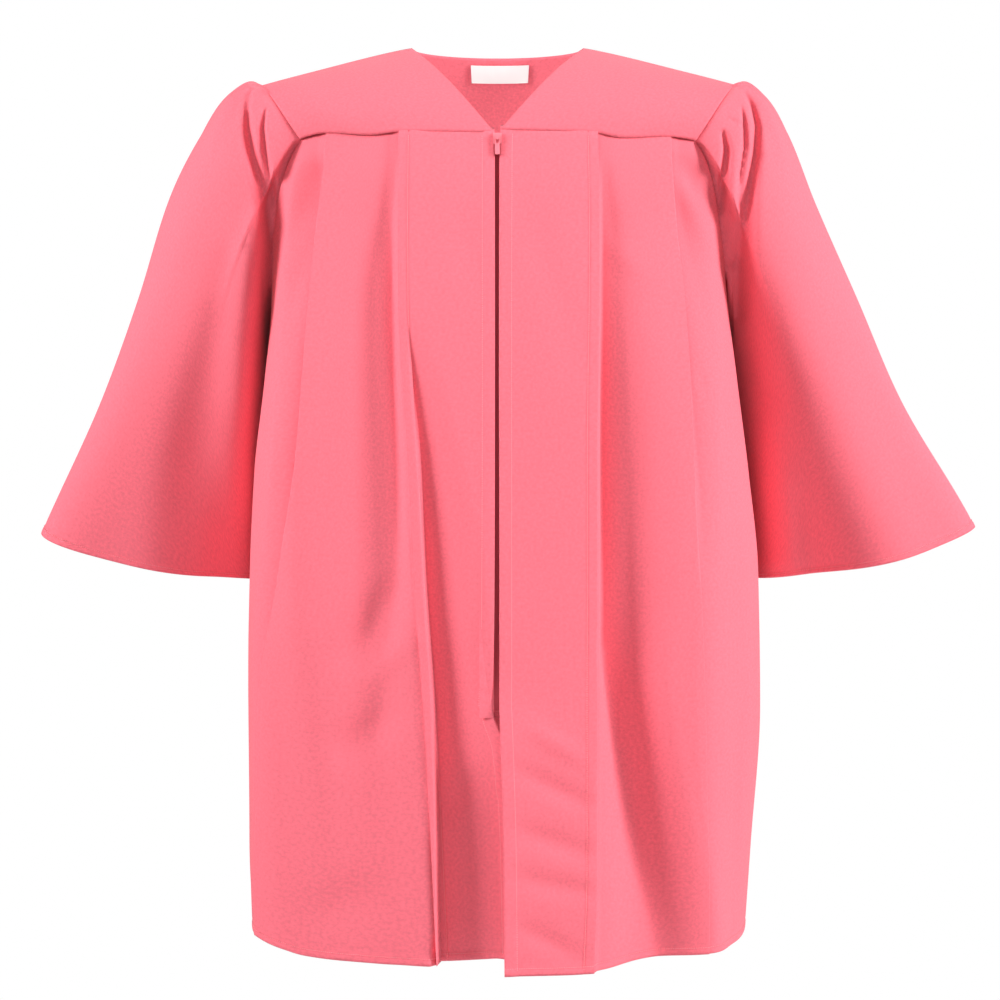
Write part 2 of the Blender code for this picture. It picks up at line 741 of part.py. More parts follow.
def sleeve_row(side, along, angles, armhole):
    """One ring of the sleeve: armhole shape that eases into the oval, with gathers and flutes."""
    points, centre = sleeve_oval(side, along, angles)
    start, _ = sleeve_oval(side, 0, angles)
    ease = np.clip(along / ARMHOLE_EASE, 0, 1)
    ease = ease * ease * (3 - 2 * ease)
    seam = armhole - start
    points = points + (1 - ease) * seam
    away = points - centre
    away /= np.linalg.norm(away, axis=1)[:, None]
    wrapped = (angles + np.pi) % (2 * np.pi) - np.pi
    cap = np.clip((np.radians(CAP_ANGLE / 2) - np.abs(wrapped)) / WAVE_FADE, 0, 1)
    waves = np.cos(np.degrees(wrapped) / CAP_ANGLE * 2 * np.pi * CAP_WAVES) * cap
    flutes = np.sin(FLUTES * wrapped + SIDES[side]) * FLUTE_HEIGHT * along**2
    inside = np.clip(1 - (np.abs(wrapped) - FLUTE_END) / FLUTE_FADE, 0, 1)
    points += away * (GATHERS.at("height", along) * waves + flutes * inside)[:, None]
    gap = (ARMHOLE_GAP + UNDERARM_GAP * (1 - np.cos(angles)) / 2) * (1 - ease)
    points[:, 0] += SIDES[side] * gap
    return [Vector(point) for point in points]


def make_sleeve(side, stuff):
    angles = sleeve_angles()
    armhole = armhole_points(side, angles)
    rows = [sleeve_row(side, along, angles, armhole) for along in SLEEVE_ROWS]
    return cloth(f"sleeve_{side}", rows, stuff, ring=True, hem_rows=2)


def opening_line(side):
    """The edge of a front beside the opening, row by row."""
    return [front_row(side, z)[0] for z in PANEL_ROWS]


def depth_at(line, z):
    """Depth of the opening's edge at a height."""
    return float(np.interp(z, [p.z for p in line[::-1]], [p.y for p in line[::-1]]))


def zip_heights(top, bottom):
    return [top, *[z for z in PANEL_ROWS if bottom < z < top], bottom]


def make_zip(tape_stuff, chain_stuff, slider_stuff):
    lines = {side: opening_line(side) for side in SIDES}
    near = CHAIN_HALF + CHAIN_TAPE_GAP
    for side in SIDES:
        rows = []
        for z in zip_heights(TAPE_TOP, TAPE_BOTTOM):
            y = depth_at(lines[side], z) + ZIP_SET_BACK
            rows.append([Vector((SIDES[side] * x, y, z)) for x in (near, near + TAPE_WIDTH)])
        cloth(f"zip_tape_{side}", rows, tape_stuff, TAPE_THICK)
    behind = ZIP_SET_BACK + (CHAIN_THICK - TAPE_THICK) / 2
    rows = []
    for z in zip_heights(ZIP_TOP, ZIP_BOTTOM):
        y = max(depth_at(line, z) for line in lines.values()) + behind
        rows.append([Vector((x, y, z)) for x in (-CHAIN_HALF, CHAIN_HALF)])
    cloth("zip_chain", rows, chain_stuff, CHAIN_THICK)
    y = max(depth_at(line, ZIP_BOTTOM) for line in lines.values()) + behind
    low = (-CHAIN_HALF, y - CHAIN_THICK / 2, ZIP_BOTTOM - STOP_HEIGHT - CHAIN_TAPE_GAP)
    high = (CHAIN_HALF, y + CHAIN_THICK / 2, ZIP_BOTTOM - CHAIN_TAPE_GAP)
    blocks("zip_bottom_stop", [(low, high)], chain_stuff, STOP_BEVEL)
    make_slider(lines, slider_stuff)


def make_slider(lines, stuff):
    """Slider with its two plates and crown, and the pull tab that hangs from the crown.

    It lies along the sloping cloth: its own -Y points away from it and its origin is at its middle.
    """
    middle = SLIDER_TOP - SLIDER_HEIGHT / 2
    heights = (SLIDER_TOP, SLIDER_TOP - SLIDER_HEIGHT)
    upper, lower = (min(depth_at(line, z) for line in lines.values()) for z in heights)
    seat = empty("slider_seat", (0, (upper + lower) / 2, middle))
    seat.rotation_euler.x = -np.arctan2(upper - lower, SLIDER_HEIGHT)
    half, top = SLIDER_WIDTH / 2, SLIDER_HEIGHT / 2
    face = -CLOTH / 2 - SLIDER_CLEAR
    back = ZIP_SET_BACK - TAPE_THICK / 2 + CHAIN_THICK + SLIDER_CLEAR
    neck, crown = SLIDER_NECK_WIDTH / 2, CROWN_WIDTH / 2
    plate_face = face - SLIDER_PLATE
    crown_face = plate_face - CROWN_INSIDE
    high, low = CROWN_HEIGHT / 2, -CROWN_HEIGHT / 2
    slider = blocks(
        "zip_slider",
        [
            ((-half, plate_face, -top), (half, face, top)),
            ((-half, back, -top), (half, back + SLIDER_PLATE, top)),
            ((-neck, face - LAP, top - SLIDER_NECK_HEIGHT), (neck, back + LAP, top)),
            ((-crown, crown_face - CROWN_BAR, high - CROWN_BAR), (crown, face - LAP, high)),
            ((-crown, crown_face - CROWN_BAR, low), (crown, face - LAP, low + CROWN_BAR)),
            ((-crown, crown_face - CROWN_BAR, low), (crown, crown_face, high)),
        ],
        stuff,
    )
    bar, eye, wide = TAB_THICK / 2, TAB_EYE_WIDTH / 2, TAB_WIDTH / 2
    axis = empty("pull_tab_axis", (0, crown_face + CROWN_INSIDE / 2, low + CROWN_BAR + SLIDER_CLEAR + bar))
    axis.parent = seat
    tab = blocks(
        "zip_pull_tab",
        [
            ((-wide, -bar, -bar), (wide, bar, bar)),
            ((-wide, -bar, -TAB_EYE_LENGTH), (-eye, bar, bar)),
            ((eye, -bar, -TAB_EYE_LENGTH), (wide, bar, bar)),
            ((-wide, -bar, bar - TAB_LENGTH), (wide, bar, LAP - TAB_EYE_LENGTH)),
        ],
        stuff,
    )
    for piece, holder in ((slider, seat), (tab, axis)):
        for obj in [piece, *[m.object for m in piece.modifiers if m.type == "BOOLEAN"]]:
            obj.parent = holder


def make_label(stuff):
    """Blank size label on the inside of the back yoke, from the yoke's own points moved in."""
    rows = []
    for down in BACK_YOKE_ROWS[LABEL_FIRST_ROW : LABEL_FIRST_ROW + 2]:
        row = []
        for part in NECK_PARTS[LABEL_COLUMNS]:
            across = part * neck_share("right" if part < 0 else "left")
            row.append(yoke_inside(across, down, CLOTH / 2 + LABEL_GAP + LABEL_THICK / 2))
        rows.append(row)
    cloth("size_label", rows, stuff, LABEL_THICK)


def yoke_inside(across, down, clear):
    """The point this far inside the back yoke."""
    step = SLOPE_STEP
    side_run = back_yoke_point(across + step, down) - back_yoke_point(across - step, down)
    down_run = back_yoke_point(across, down + step) - back_yoke_point(across, down - step)
    inward = side_run.cross(down_run).normalized()
    if inward.y > 0:
        inward.negate()
    return back_yoke_point(across, down) + inward * clear


def main():
    clear_scene()
    gown_cloth = material("gown_cloth", SALMON, 0.75)
    tape_cloth = material("zip_tape", SALMON, 0.8)
    chain = material("zip_chain", ZIP_RED, 0.5)
    slider_paint = material("slider_paint", METAL_PAINT, 0.35)
    label_satin = material("label_satin", WHITE, 0.6)
    for side in SIDES:
        make_front(side, gown_cloth)
        make_sleeve(side, gown_cloth)
    make_back(gown_cloth)
    make_yokes(gown_cloth)
    make_zip(tape_cloth, chain, slider_paint)
    make_label(label_satin)


main()
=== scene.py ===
"""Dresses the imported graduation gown: woven cloth with its folds, stitching, zip and label, in a studio.

Tables of sizes are in millimetres and all else is in metres, in the gown's own frame: +Z up, the wearer
faces -Y, the wearer's left is +X.
Each panel of cloth is a fine grid of points on its own plan sections, so it lies where its solid lies.
"""

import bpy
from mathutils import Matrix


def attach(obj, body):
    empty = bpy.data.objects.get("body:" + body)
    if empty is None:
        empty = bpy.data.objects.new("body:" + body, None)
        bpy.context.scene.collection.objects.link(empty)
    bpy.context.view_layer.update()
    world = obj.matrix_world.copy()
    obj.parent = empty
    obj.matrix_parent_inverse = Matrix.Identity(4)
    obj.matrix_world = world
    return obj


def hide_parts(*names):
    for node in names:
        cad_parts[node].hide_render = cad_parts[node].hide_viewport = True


bl_info = {
    "name": "Graduation gown",
    "version": (1, 0, 0),
    "blender": (4, 5, 0),
    "location": "View3D > Sidebar > Gown",
    "description": "Cloth, stitching, zip, label and studio for the graduation gown",
    "category": "Object",
}

from functools import lru_cache

import bmesh
import bpy
import numpy as np
from bpy.props import FloatProperty, FloatVectorProperty, PointerProperty
from mathutils import Matrix, Vector

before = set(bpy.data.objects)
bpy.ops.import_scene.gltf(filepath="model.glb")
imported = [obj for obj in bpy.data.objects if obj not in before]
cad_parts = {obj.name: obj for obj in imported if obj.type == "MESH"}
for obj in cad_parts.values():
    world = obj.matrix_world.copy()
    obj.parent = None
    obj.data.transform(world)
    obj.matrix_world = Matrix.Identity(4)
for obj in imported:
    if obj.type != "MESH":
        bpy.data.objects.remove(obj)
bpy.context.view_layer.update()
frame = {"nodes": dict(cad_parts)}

MM = 0.001

# Cut of the gown, as in its solids
SHOULDER_GAP = 0.0011
NECK_HALF = 0.0705
NECK_BACK = 0.045
SHOULDER_TIP_Y = 0.006
SHOULDER_BEND = 1.15
SIDE_Y = 0.005
BACK_POWER = 2.4
UNDERARM_Z = -0.215
HEM_CURVE_TOP = -0.600
HEM_LEVEL = -0.730
FRONT_TOP = -0.081
BACK_TOP = -0.110
PLEAT_PITCH = 0.0016
TOP_LAYER = 4
SECTION_POINTS = 481
SECTION_CROWDING = 1.5
SIDES = {"right": -1, "left": 1}


class Table:
    """Rows of sizes with named columns, read smoothly between the rows and without overshoot."""

    def __init__(self, columns, rows, ratios=()):
        self.columns = columns.split()
        self.rows = np.array(sorted(rows)) * [1 if column in ratios else MM for column in self.columns]

    def at(self, column, key):
        keys = self.rows[:, 0]
        values = self.rows[:, self.columns.index(column)]
        steps = np.diff(keys)
        rises = np.diff(values) / steps
        same_way = rises[:-1] * rises[1:] > 0
        total = np.where(same_way, rises[:-1] + rises[1:], 1)
        slopes = np.zeros(len(keys))
        slopes[1:-1] = np.where(same_way, 2 * rises[:-1] * rises[1:] / total, 0)
        slopes[0], slopes[-1] = rises[0], rises[-1]
        key = np.clip(key, keys[0], keys[-1])
        i = np.clip(np.searchsorted(keys, key) - 1, 0, len(steps) - 1)
        u = (key - keys[i]) / steps[i]
        start = (1 + 2 * u) * (1 - u) ** 2 * values[i] + u * (1 - u) ** 2 * steps[i] * slopes[i]
        end = u**2 * (3 - 2 * u) * values[i + 1] - u**2 * (1 - u) * steps[i] * slopes[i + 1]
        return start + end


# Plan section of the worn body at each height: half widths of both sides, reach to front and
# back, and how square the front's section is
BODY = Table(
    "z right left front back front_power",
    [
        (-81, 196, 197, 82, 76, 2.5), (-110, 193, 193.5, 92, 84, 2.5),
        (-140, 188.5, 188, 99, 91, 2.5), (-177, 185, 186, 104, 97, 2.7),
        (-215, 184, 188.5, 108, 101, 3), (-270, 188.5, 194.5, 112, 105, 3.4),
        (-350, 197.5, 204, 116, 110, 3.7), (-430, 201, 211.5, 119, 115, 3.8),
        (-536, 202.5, 213, 122, 120, 3.8), (-650, 202.5, 205.5, 124, 125, 3.6),
        (-736, 199, 199.5, 126, 128, 3.5),
    ],
    ratios=["front_power"],
)

# Depth of the armhole's edge at each height, on the front and on the back
ARMHOLE = Table(
    "z front back",
    [
        (-82, -57, 64), (-110, -50, 62), (-140, -40, 54), (-170, -29, 41), (-195, -15, 24),
        (-215, 5, 5),
    ],
)

# Seam between front yoke and front, by distance from the centre line
FRONT_SEAM = Table(
    "x right left",
    [
        (0, -81.3, -79), (77, -80.3, -81.2), (98, -82.2, -84.5), (137, -79, -82), (172, -86.5, -85),
    ],
)

# Lower edge of the gown, by the share of the half width
HEM = Table(
    "share right left back",
    [
        (0, -726.2, -735.8, -733), (0.25, -729.6, -734.5, -732.5), (0.4, -730, -732.5, -732),
        (0.57, -729, -728, -730), (0.75, -727.2, -725.7, -726.5), (0.87, -722, -723.8, -722.5),
        (0.95, -715.5, -721, -717.5), (1, -709.5, -716, -712.8),
    ],
    ratios=["share"],
)

# Front opening: edge of each front, and how far the left front stands off where it laps over
OPENING = Table(
    "z right left lift",
    [
        (-78, -2.4, 2.4, 0), (-105, -2, 1.6, 0), (-300, -1.8, 1.2, 0), (-450, -2.2, 1.2, 0),
        (-505, -3, 1.2, 0), (-528, -4.4, 1, 0.8), (-542, -1.2, 1.6, 2.6), (-564, 6, 2.4, 4.5),
        (-640, 12, 4.6, 6), (-736, 14, 5.6, 7),
    ],
)

# Folds of the pleats on the fronts: distance from the centre line
FRONT_FOLDS = Table(
    "z right_1 left_1 right_2 left_2",
    [
        (-79, 77, 78.5, 135, 137), (-215, 76, 78, 142, 144), (-340, 69, 76.5, 151, 149),
        (-430, 64.5, 76.5, 165, 153), (-540, 56, 76, 184, 157), (-650, 50, 75.5, 188, 159),
        (-736, 46, 72.5, 188, 160),
    ],
)

# Folds of the pleats on the back, alike on both sides
BACK_FOLDS = Table(
    "z fold_1 fold_2",
    [
        (-109, 52, 115), (-300, 56, 125), (-500, 60, 137), (-736, 64, 148),
    ],
)

# How deep a pleat turns under itself, how far it stands out, and how far out its edge drops away
PLEAT = Table(
    "z depth spread run",
    [
        (-79, 22, 1, 8), (-140, 21, 1.2, 12), (-216, 19.5, 1.55, 28), (-300, 18, 1.9, 38),
        (-450, 16, 2.2, 42), (-600, 14.5, 2.4, 38), (-736, 13, 2.6, 32),
    ],
    ratios=["spread"],
)

# Long creases that run down a panel: a line by its distance from the centre line, how far the
# cloth takes to come back to level towards the centre and away from it, how far it moves out, how
# steeply it starts back and how much of it is a soft swell
CREASE_COLUMNS = "z x inner outer depth steep soft"
CREASES = {
    ("front", "right"): [
        # the band beside the opening sinks behind the first pleat's ridge
        (
            (-230, 69, 14, 1.6, 0, 1.8, 0), (-300, 64, 30, 1.8, -7.5, 1.4, 0),
            (-372, 58.5, 40, 2, -12.5, 1.3, 0), (-449, 54.5, 48, 2, -16, 1.3, 0),
            (-527, 49, 50, 2.2, -19, 1.2, 0), (-565, 47.5, 60, 2.4, -20, 1.1, 0),
            (-605, 46.2, 100, 2.4, -22.5, 1, 0), (-650, 45.5, 150, 2.4, -23.5, 1, 0),
            (-740, 44, 170, 2.4, -24, 1, 0),
        ),
        # the panel between the pleats sinks to a valley beside the first pleat
        (
            (-120, 82, 4, 12, 0, 1.1, 0.3), (-160, 82.5, 5, 18, -3.5, 1.1, 0.3),
            (-180, 82, 5, 24, -5.5, 1.1, 0.3), (-216, 81, 5, 32, -8, 1.1, 0.3),
            (-300, 78, 5, 40, -10, 1.1, 0.3), (-372, 75.5, 6, 44, -10.5, 1.1, 0.3),
            (-410, 76, 9, 44, -10, 1.1, 0.3), (-450, 79, 16, 44, -8.5, 1.1, 0.4),
            (-500, 87, 24, 40, -6, 1.1, 0.4), (-560, 96, 30, 40, -3.5, 1.1, 0.4),
            (-740, 100, 34, 40, -1, 1.1, 0.4),
        ),
        # the cloth is fuller at the second pleat
        (
            (-110, 148, 50, 40, 0, 1, 0.8), (-180, 148, 52, 42, 7, 1, 0.8),
            (-300, 150, 52, 45, 9.5, 1, 0.8), (-450, 154, 54, 46, 9, 1, 0.8),
            (-600, 156, 56, 45, 6, 1, 0.8), (-740, 156, 56, 43, 3, 1, 0.8),
        ),
        # the second pleat's edge stands above the cloth outside it
        (
            (-92, 137.5, 1, 12, 0, 1.1, 0), (-115, 138.5, 1, 24, -10, 1.1, 0),
            (-150, 140, 1, 26, -16.5, 1.1, 0), (-215, 143.2, 1, 26, -21, 1.1, 0),
            (-340, 152.2, 1, 24, -19, 1.1, 0), (-430, 166, 1.2, 20, -14, 1.1, 0),
            (-540, 185, 1.6, 14, -6, 1.1, 0), (-650, 189, 2, 12, 0, 1.1, 0),
        ),
        # so does the first pleat's edge, as far as it lies flat
        (
            (-90, 78.5, 1.2, 10, 0, 1.8, 0), (-130, 78.5, 1.2, 14, -2.2, 1.8, 0),
            (-215, 77.2, 1.2, 16, -3.4, 1.8, 0), (-300, 72.8, 1.2, 12, -3, 1.8, 0),
            (-400, 66.8, 1.2, 10, -1.6, 1.8, 0), (-450, 64, 1.2, 10, 0, 1.8, 0),
        ),
        # towards the side seam the lower cloth falls away
        (
            (-480, 165, 100, 44, 0, 1, 0.3), (-600, 165, 110, 44, -7, 1, 0.3),
            (-740, 162, 110, 44, -12, 1, 0.3),
        ),
    ],
    ("front", "left"): [
        # the cloth drops behind the first pleat's edge and rises again to a crest
        (
            (-100, 80.2, 1.4, 12, 0, 1.8, 0), (-150, 80.4, 1.4, 30, -5, 1.8, 0),
            (-216, 80, 1.4, 44, -11, 1.8, 0), (-294, 79.5, 1.6, 56, -17, 1.7, 0),
            (-372, 79.2, 1.6, 62, -20, 1.6, 0), (-449, 79.6, 2, 60, -21, 1.4, 0.3),
            (-488, 81.5, 6, 52, -22.5, 1.3, 0.6), (-527, 87, 10, 47, -23.5, 1.3, 0.9),
            (-605, 101, 29, 46, -24, 1.3, 0.8), (-644, 109, 39, 46, -22.5, 1.3, 0.8),
            (-700, 120, 50, 44, -18.5, 1.3, 0.8), (-740, 127, 58, 42, -15.5, 1.3, 0.8),
        ),
        # crest at the second pleat
        (
            (-180, 145, 3, 14, 0, 1.3, 0.5), (-250, 150, 40, 45, 4, 1.2, 0.5),
            (-333, 150, 46, 48, 6.5, 1.2, 0.5), (-450, 150, 50, 50, 8, 1.2, 0.4),
            (-527, 150, 40, 44, 7.5, 1.2, 0.4), (-605, 154, 26, 34, 5, 1.3, 0.5),
            (-680, 164, 30, 26, 4, 1.3, 0.5), (-740, 172, 34, 20, 3, 1.3, 0.5),
        ),
        # the cloth outside the second pleat's edge lies behind it
        (
            (-90, 137.5, 1, 14, 0, 1.1, 0), (-105, 138.5, 1, 30, -8, 1.1, 0),
            (-150, 141, 1, 30, -10, 1.1, 0), (-215, 145.2, 1, 26, -9, 1.1, 0),
            (-300, 148.5, 1, 24, -8, 1.1, 0), (-380, 151.2, 1.2, 20, -4, 1.1, 0),
            (-440, 153.5, 1.2, 16, 0, 1.1, 0),
        ),
        # the band beside the opening rises to the first pleat's edge
        (
            (-500, 76.8, 30, 2.4, 0, 1.2, 0), (-580, 76.2, 45, 2.4, 3.6, 1.2, 0),
            (-680, 75, 56, 2.4, 7, 1.2, 0), (-740, 73.2, 56, 2.4, 8, 1.2, 0),
        ),
    ],
    ("back", "right"): [],
    ("back", "left"): [],
}

# Short soft wrinkles at any slant: start and end as x and z on the panel, half width and depth
WRINKLES = {
    ("front", "right"): [
        ((116, -492), (78, -440), 13, -3.6), ((98, -512), (66, -478), 9, 3),
        ((118, -566), (72, -531), 15, -3.6), ((150, -700), (90, -672), 18, -3),
        ((170, -420), (145, -730), 18, -4), ((20, -590), (44, -620), 8, -1.6),
        ((30, -150), (12, -215), 10, -1.2), ((150, -120), (162, -170), 9, -2.2),
        ((158, -180), (164, -225), 7, -1.6),
    ],
    ("front", "left"): [
        ((22, -140), (60, -262), 12, -1.8), ((20, -582), (70, -606), 7, -3),
        ((18, -626), (74, -645), 8, -3), ((18, -662), (74, -674), 7, -2.8),
        ((18, -699), (62, -721), 7, -2.8), ((26, -548), (64, -570), 6, 2.2),
        ((152, -98), (165, -128), 12, -4), ((140, -100), (169, -168), 8, 2.6),
        ((158, -270), (161, -290), 3, -0.8), ((86, -170), (118, -196), 10, 1.6),
    ],
    ("back", "right"): [
        ((88, -180), (96, -735), 14, -4), ((160, -330), (168, -735), 16, -4.5),
        ((22, -300), (24, -735), 14, 4), ((134, -150), (98, -300), 12, -2.2),
        ((30, -500), (56, -640), 12, -2.2),
    ],
    ("back", "left"): [
        ((86, -200), (100, -735), 14, -4), ((158, -300), (172, -735), 16, -4.5),
        ((24, -340), (26, -735), 14, 4), ((138, -140), (106, -280), 11, -2),
        ((88, -560), (120, -650), 12, 1.8),
    ],
}
WRINKLE_RUN_OUT = 0.25
RELIEF_FADE = 0.030

# Outer edge of each sleeve from shoulder to cuff, and the sleeve's reach to front and back
SLEEVE = Table(
    "along right_x right_z left_x left_z front back sag",
    [
        (0, 196.5, -31.2, 197.5, -30.5, 60, 60, 0), (0.012, 201.8, -29.6, 201.5, -29.6, 62, 61, 0),
        (0.06, 219, -39.8, 217.5, -40, 66, 62, 0), (0.14, 239, -64, 237, -67, 70, 62, 1),
        (0.29, 269, -120, 261.5, -127, 70, 59, 3), (0.5, 295.8, -204, 296.5, -207.5, 66, 54, 6),
        (0.715, 326.8, -288, 331.2, -290, 62, 50, 9),
        (0.938, 365.5, -372.2, 378.2, -371.2, 58, 47, 12),
        (1, 376.5, -396, 390.5, -393.5, 57, 46, 12),
    ],
    ratios=["along"],
)

# Underarm line of the sleeve: it tucks behind the widest line of the body
UNDERARM = Table(
    "along y z",
    [
        (0, 5, -215.8), (0.15, 18, -248), (0.3, 30, -280), (0.5, 42, -326), (0.7, 52, -372),
        (1, 58, -437),
    ],
    ratios=["along"],
)
UNDERARM_CLEAR = 0.0035
CLEAR_RUN = 0.08
CUFF_SAG_POWER = 1.3
CUFF_RUN = 0.40
CUFF_SAG_OUTWARD = 0.35
OUTER_POINT_POWER = 1.05
UNDERARM_POINT_POWER = {"right": 1.2, "left": 2.4}
ARMHOLE_EASE = 0.35
ARMHOLE_GAP = 0.0011
UNDERARM_GAP = 0.0007
CAP_ANGLE = 200
FLUTE_HEIGHT = 0.0035
FLUTES = 5
FLUTE_END = 2.0
FLUTE_FADE = 0.5

# Folds that fall from the cap of each sleeve: where each starts and ends round the sleeve, in
# degrees from its outer edge over the front, its half width, height and reach down the sleeve
CAP_FOLDS = {
    "right": [
        (-92, -84, 7, 4, 0.22), (-74, -70, 6, 3, 0.14), (-60, -52, 7, 4.4, 0.26),
        (-42, -38, 5, 3, 0.12), (-28, -20, 6, 4, 0.2), (-14, -10, 4, 2.4, 0.08),
        (0, 4, 6, 3.4, 0.16), (16, 22, 5, 3, 0.12), (30, 40, 6, 3.6, 0.18),
        (40, 62, 4, 3, 0.1),
    ],
    "left": [
        (-90, -84, 7, 4, 0.2), (-76, -70, 6, 3.4, 0.16), (-62, -56, 6, 4, 0.24),
        (-46, -40, 6, 3, 0.12), (-32, -26, 6, 4, 0.18), (-18, -12, 4, 2.6, 0.1),
        (-4, 2, 5, 3.4, 0.14), (10, 18, 5, 3, 0.12), (24, 44, 5, 4, 0.2),
    ],
}

# Creases and swells on the front of each sleeve, traced as lines: distance from the centre line,
# height, half width and how far the cloth moves out
SLEEVE_FOLDS = {
    "right": [
        # the deep crease beside the gathers
        (
            (197.9, -44, 2.4, -2.5), (200.3, -56, 2.8, -6), (199.5, -72, 3.6, -9),
            (195.5, -93.6, 4.8, -12), (188.3, -117.6, 5.6, -14), (181.9, -144, 6.4, -14),
            (178.7, -172, 6.4, -12), (179.5, -212, 5.6, -8),
        ),
        # the crease nearer the seam
        (
            (185.1, -60, 1.6, -2.5), (186.7, -74.4, 2.4, -6), (185.1, -92, 2.8, -9),
            (181.1, -114.4, 3.2, -9), (177.1, -136, 3.2, -6),
        ),
        # a swell along the inner side
        (
            (185.1, -136, 11.2, 4), (189.9, -172, 17.6, 18), (193.1, -212, 20.8, 26),
            (196.3, -252, 22.4, 26), (199.5, -292, 22.4, 24), (202.7, -332, 22.4, 18),
            (205.9, -372, 20.8, 11), (209.1, -408, 17.6, 3),
        ),
        # the soft hollow outside it
        (
            (217.9, -204, 11.2, 0), (233.1, -260, 16, -3), (241.1, -292, 19.2, -5),
            (247.5, -332, 20.8, -7), (252.3, -372, 22.4, -6), (257.1, -420, 22.4, -4),
        ),
    ],
    "left": [
        # the deep crease beside the gathers
        (
            (199.7, -42.4, 2.4, -2), (204.5, -53.6, 2.8, -6), (207.7, -69.6, 3.2, -9),
            (206.1, -93.6, 4.4, -12), (200.5, -125.6, 5.6, -14), (197.3, -152, 6.4, -14),
            (196.5, -180, 6.4, -12), (198.1, -220, 5.6, -8),
        ),
        # the crease behind the inner fold
        (
            (195.7, -56.8, 1.6, -2.5), (197.3, -69.6, 2, -6), (197.3, -88, 2.8, -8),
            (193.3, -112, 3.2, -8), (192.5, -136, 3.2, -5),
        ),
        # the hollow beside the front
        (
            (179.7, -79.2, 2.4, -5), (182.1, -92, 3.2, -9), (179.7, -116, 4, -10),
            (176.5, -136, 4, -7),
        ),
        # a crease across
        ((176.5, -192.8, 3.2, -2.5), (186.1, -184.8, 3.2, -3.5), (194.1, -178.4, 3.2, -2.5)),
        # a swell low on the inner side
        (
            (219.7, -284, 16, 0), (219.7, -324, 19.2, 9), (224.5, -364, 20.8, 15),
            (230.9, -420, 20.8, 16),
        ),
        # a crumple at the seam
        ((184.5, -66.4, 1.3, -1.6), (195.7, -71.2, 1.4, -1.8)),
    ],
}
FOLD_FRONT = 0.25

YOKE_REACH = 0.180
# The corner between neckline and shoulder fades out down the back yoke
CORNER_SPREAD = 0.25
CORNER_STEPS = np.linspace(-1, 1, 17)
SEAM_PROUD = 0.0010
SEAM_OVERLAP = 0.0012
# The panels turn in under the yokes by this much
SEAM_TUCK_IN = 0.0050
SEAM_TUCK_UP = 0.0030
# How the yokes roll over the shoulders
FLAT_ROLL = 0.35
SIDE_ROLL = 0.5
FRONT_ROUNDNESS = 0.45
BACK_ROUNDNESS = 0.12
BACK_ROUND_START = 0.08
BACK_ROUND_RUN = 0.72

# Points across and down the fine grids
PLACKET_COLUMNS = 10
PLACKET_REACH = 0.014
CENTRE_COLUMNS = 22
FOLD_COLUMNS_UPPER = 22
FOLD_COLUMNS_UNDER = 6
TURN_POINTS = 5
BETWEEN_COLUMNS = 24
SIDE_COLUMNS = 40
ROW_STEP = 0.0052
SLEEVE_ROUND = 288
SLEEVE_DOWN = 104
SLEEVE_CROWDING = 1.5
YOKE_ACROSS = 72
YOKE_DOWN = 40
ARMHOLE_LINE_POINTS = (41, 60, 52)
EDGE_ROWS = np.array([0.85, 0.6, 0.3, 0.0])

# The sleeves turn in under the armhole by this much
SLEEVE_TUCK_IN = 0.0028
SLEEVE_TUCK_UNDER = 0.006

# A turned edge, at hem or cuff, is fuller between its fold and its stitching
TURNED_TOP = 1.3
TURNED_START = 0.08
TURNED_FULLNESS = 0.0004
TURNED_DIP = 0.0003
TURNED_DIP_WIDTH = 0.2

# The opening's doubled edge and the ridge sewn down the first pleat
PLACKET_PROUD = 0.0005
PLACKET_STEP = 0.0016
PLACKET_DIP = 0.0004
PLACKET_DIP_WIDTH = 0.0009
RIDGE_INSET = 0.0076
RIDGE_DIP = 0.0005
RIDGE_DIP_WIDTH = 0.0008

# How a fold of the cap starts and how much it widens down the sleeve
CAP_FOLD_START = 0.18
CAP_FOLD_WIDENING = 1.2

# A stitch: reach each way as a share of its pitch, then its shape, and where the rows run
STITCH_REACH = 0.36
STITCH_LENGTH = 0.62
STITCH_FLATNESS = 0.8
STITCH_RAISE = 0.25
STITCH_RADIUS = 0.8
STITCH_LEVELS = 160
STITCH_START = 0.004
STITCH_STOP = 0.002
BESIDE_STITCH = 0.0005

# Scales of the weave's yarns and of its slubs
YARN_SCALE = 420.0
SLUB_SCALE = 1500.0

# Camera, opposite the middle of the gown
CAMERA_PLACE = (0.00206, -2.0, -0.372)
CAMERA_LENS = 87.38
SENSOR_WIDTH = 36.0
FLOOR_LEVEL = -1.15
FLOOR_HALF = 1.2

# Lamps: place, aim, size, watts and spread
LAMPS = {
    "key": ((2.55, -1.0, 0.8), (0.05, 0, -0.25), (0.6, 1.2), 108, np.pi),
    "side": ((-2.5, -1.1, 0.8), (-0.05, 0, -0.15), (1.0, 1.2), 10.6, 0.95),
    "fill": ((-0.2, -2.8, 0.5), (0, 0, -0.38), (1.2, 1.6), 19, np.pi),
    "neck": ((0, -0.04, -0.17), (0, 0.07, -0.04), (0.08, 0.04), 0.03, 1.2),
}
SKY_STRENGTH = 0.17


def smooth(share):
    """A share from 0 to 1 that eases in and out."""
    share = np.clip(share, 0, 1)
    return share * share * (3 - 2 * share)


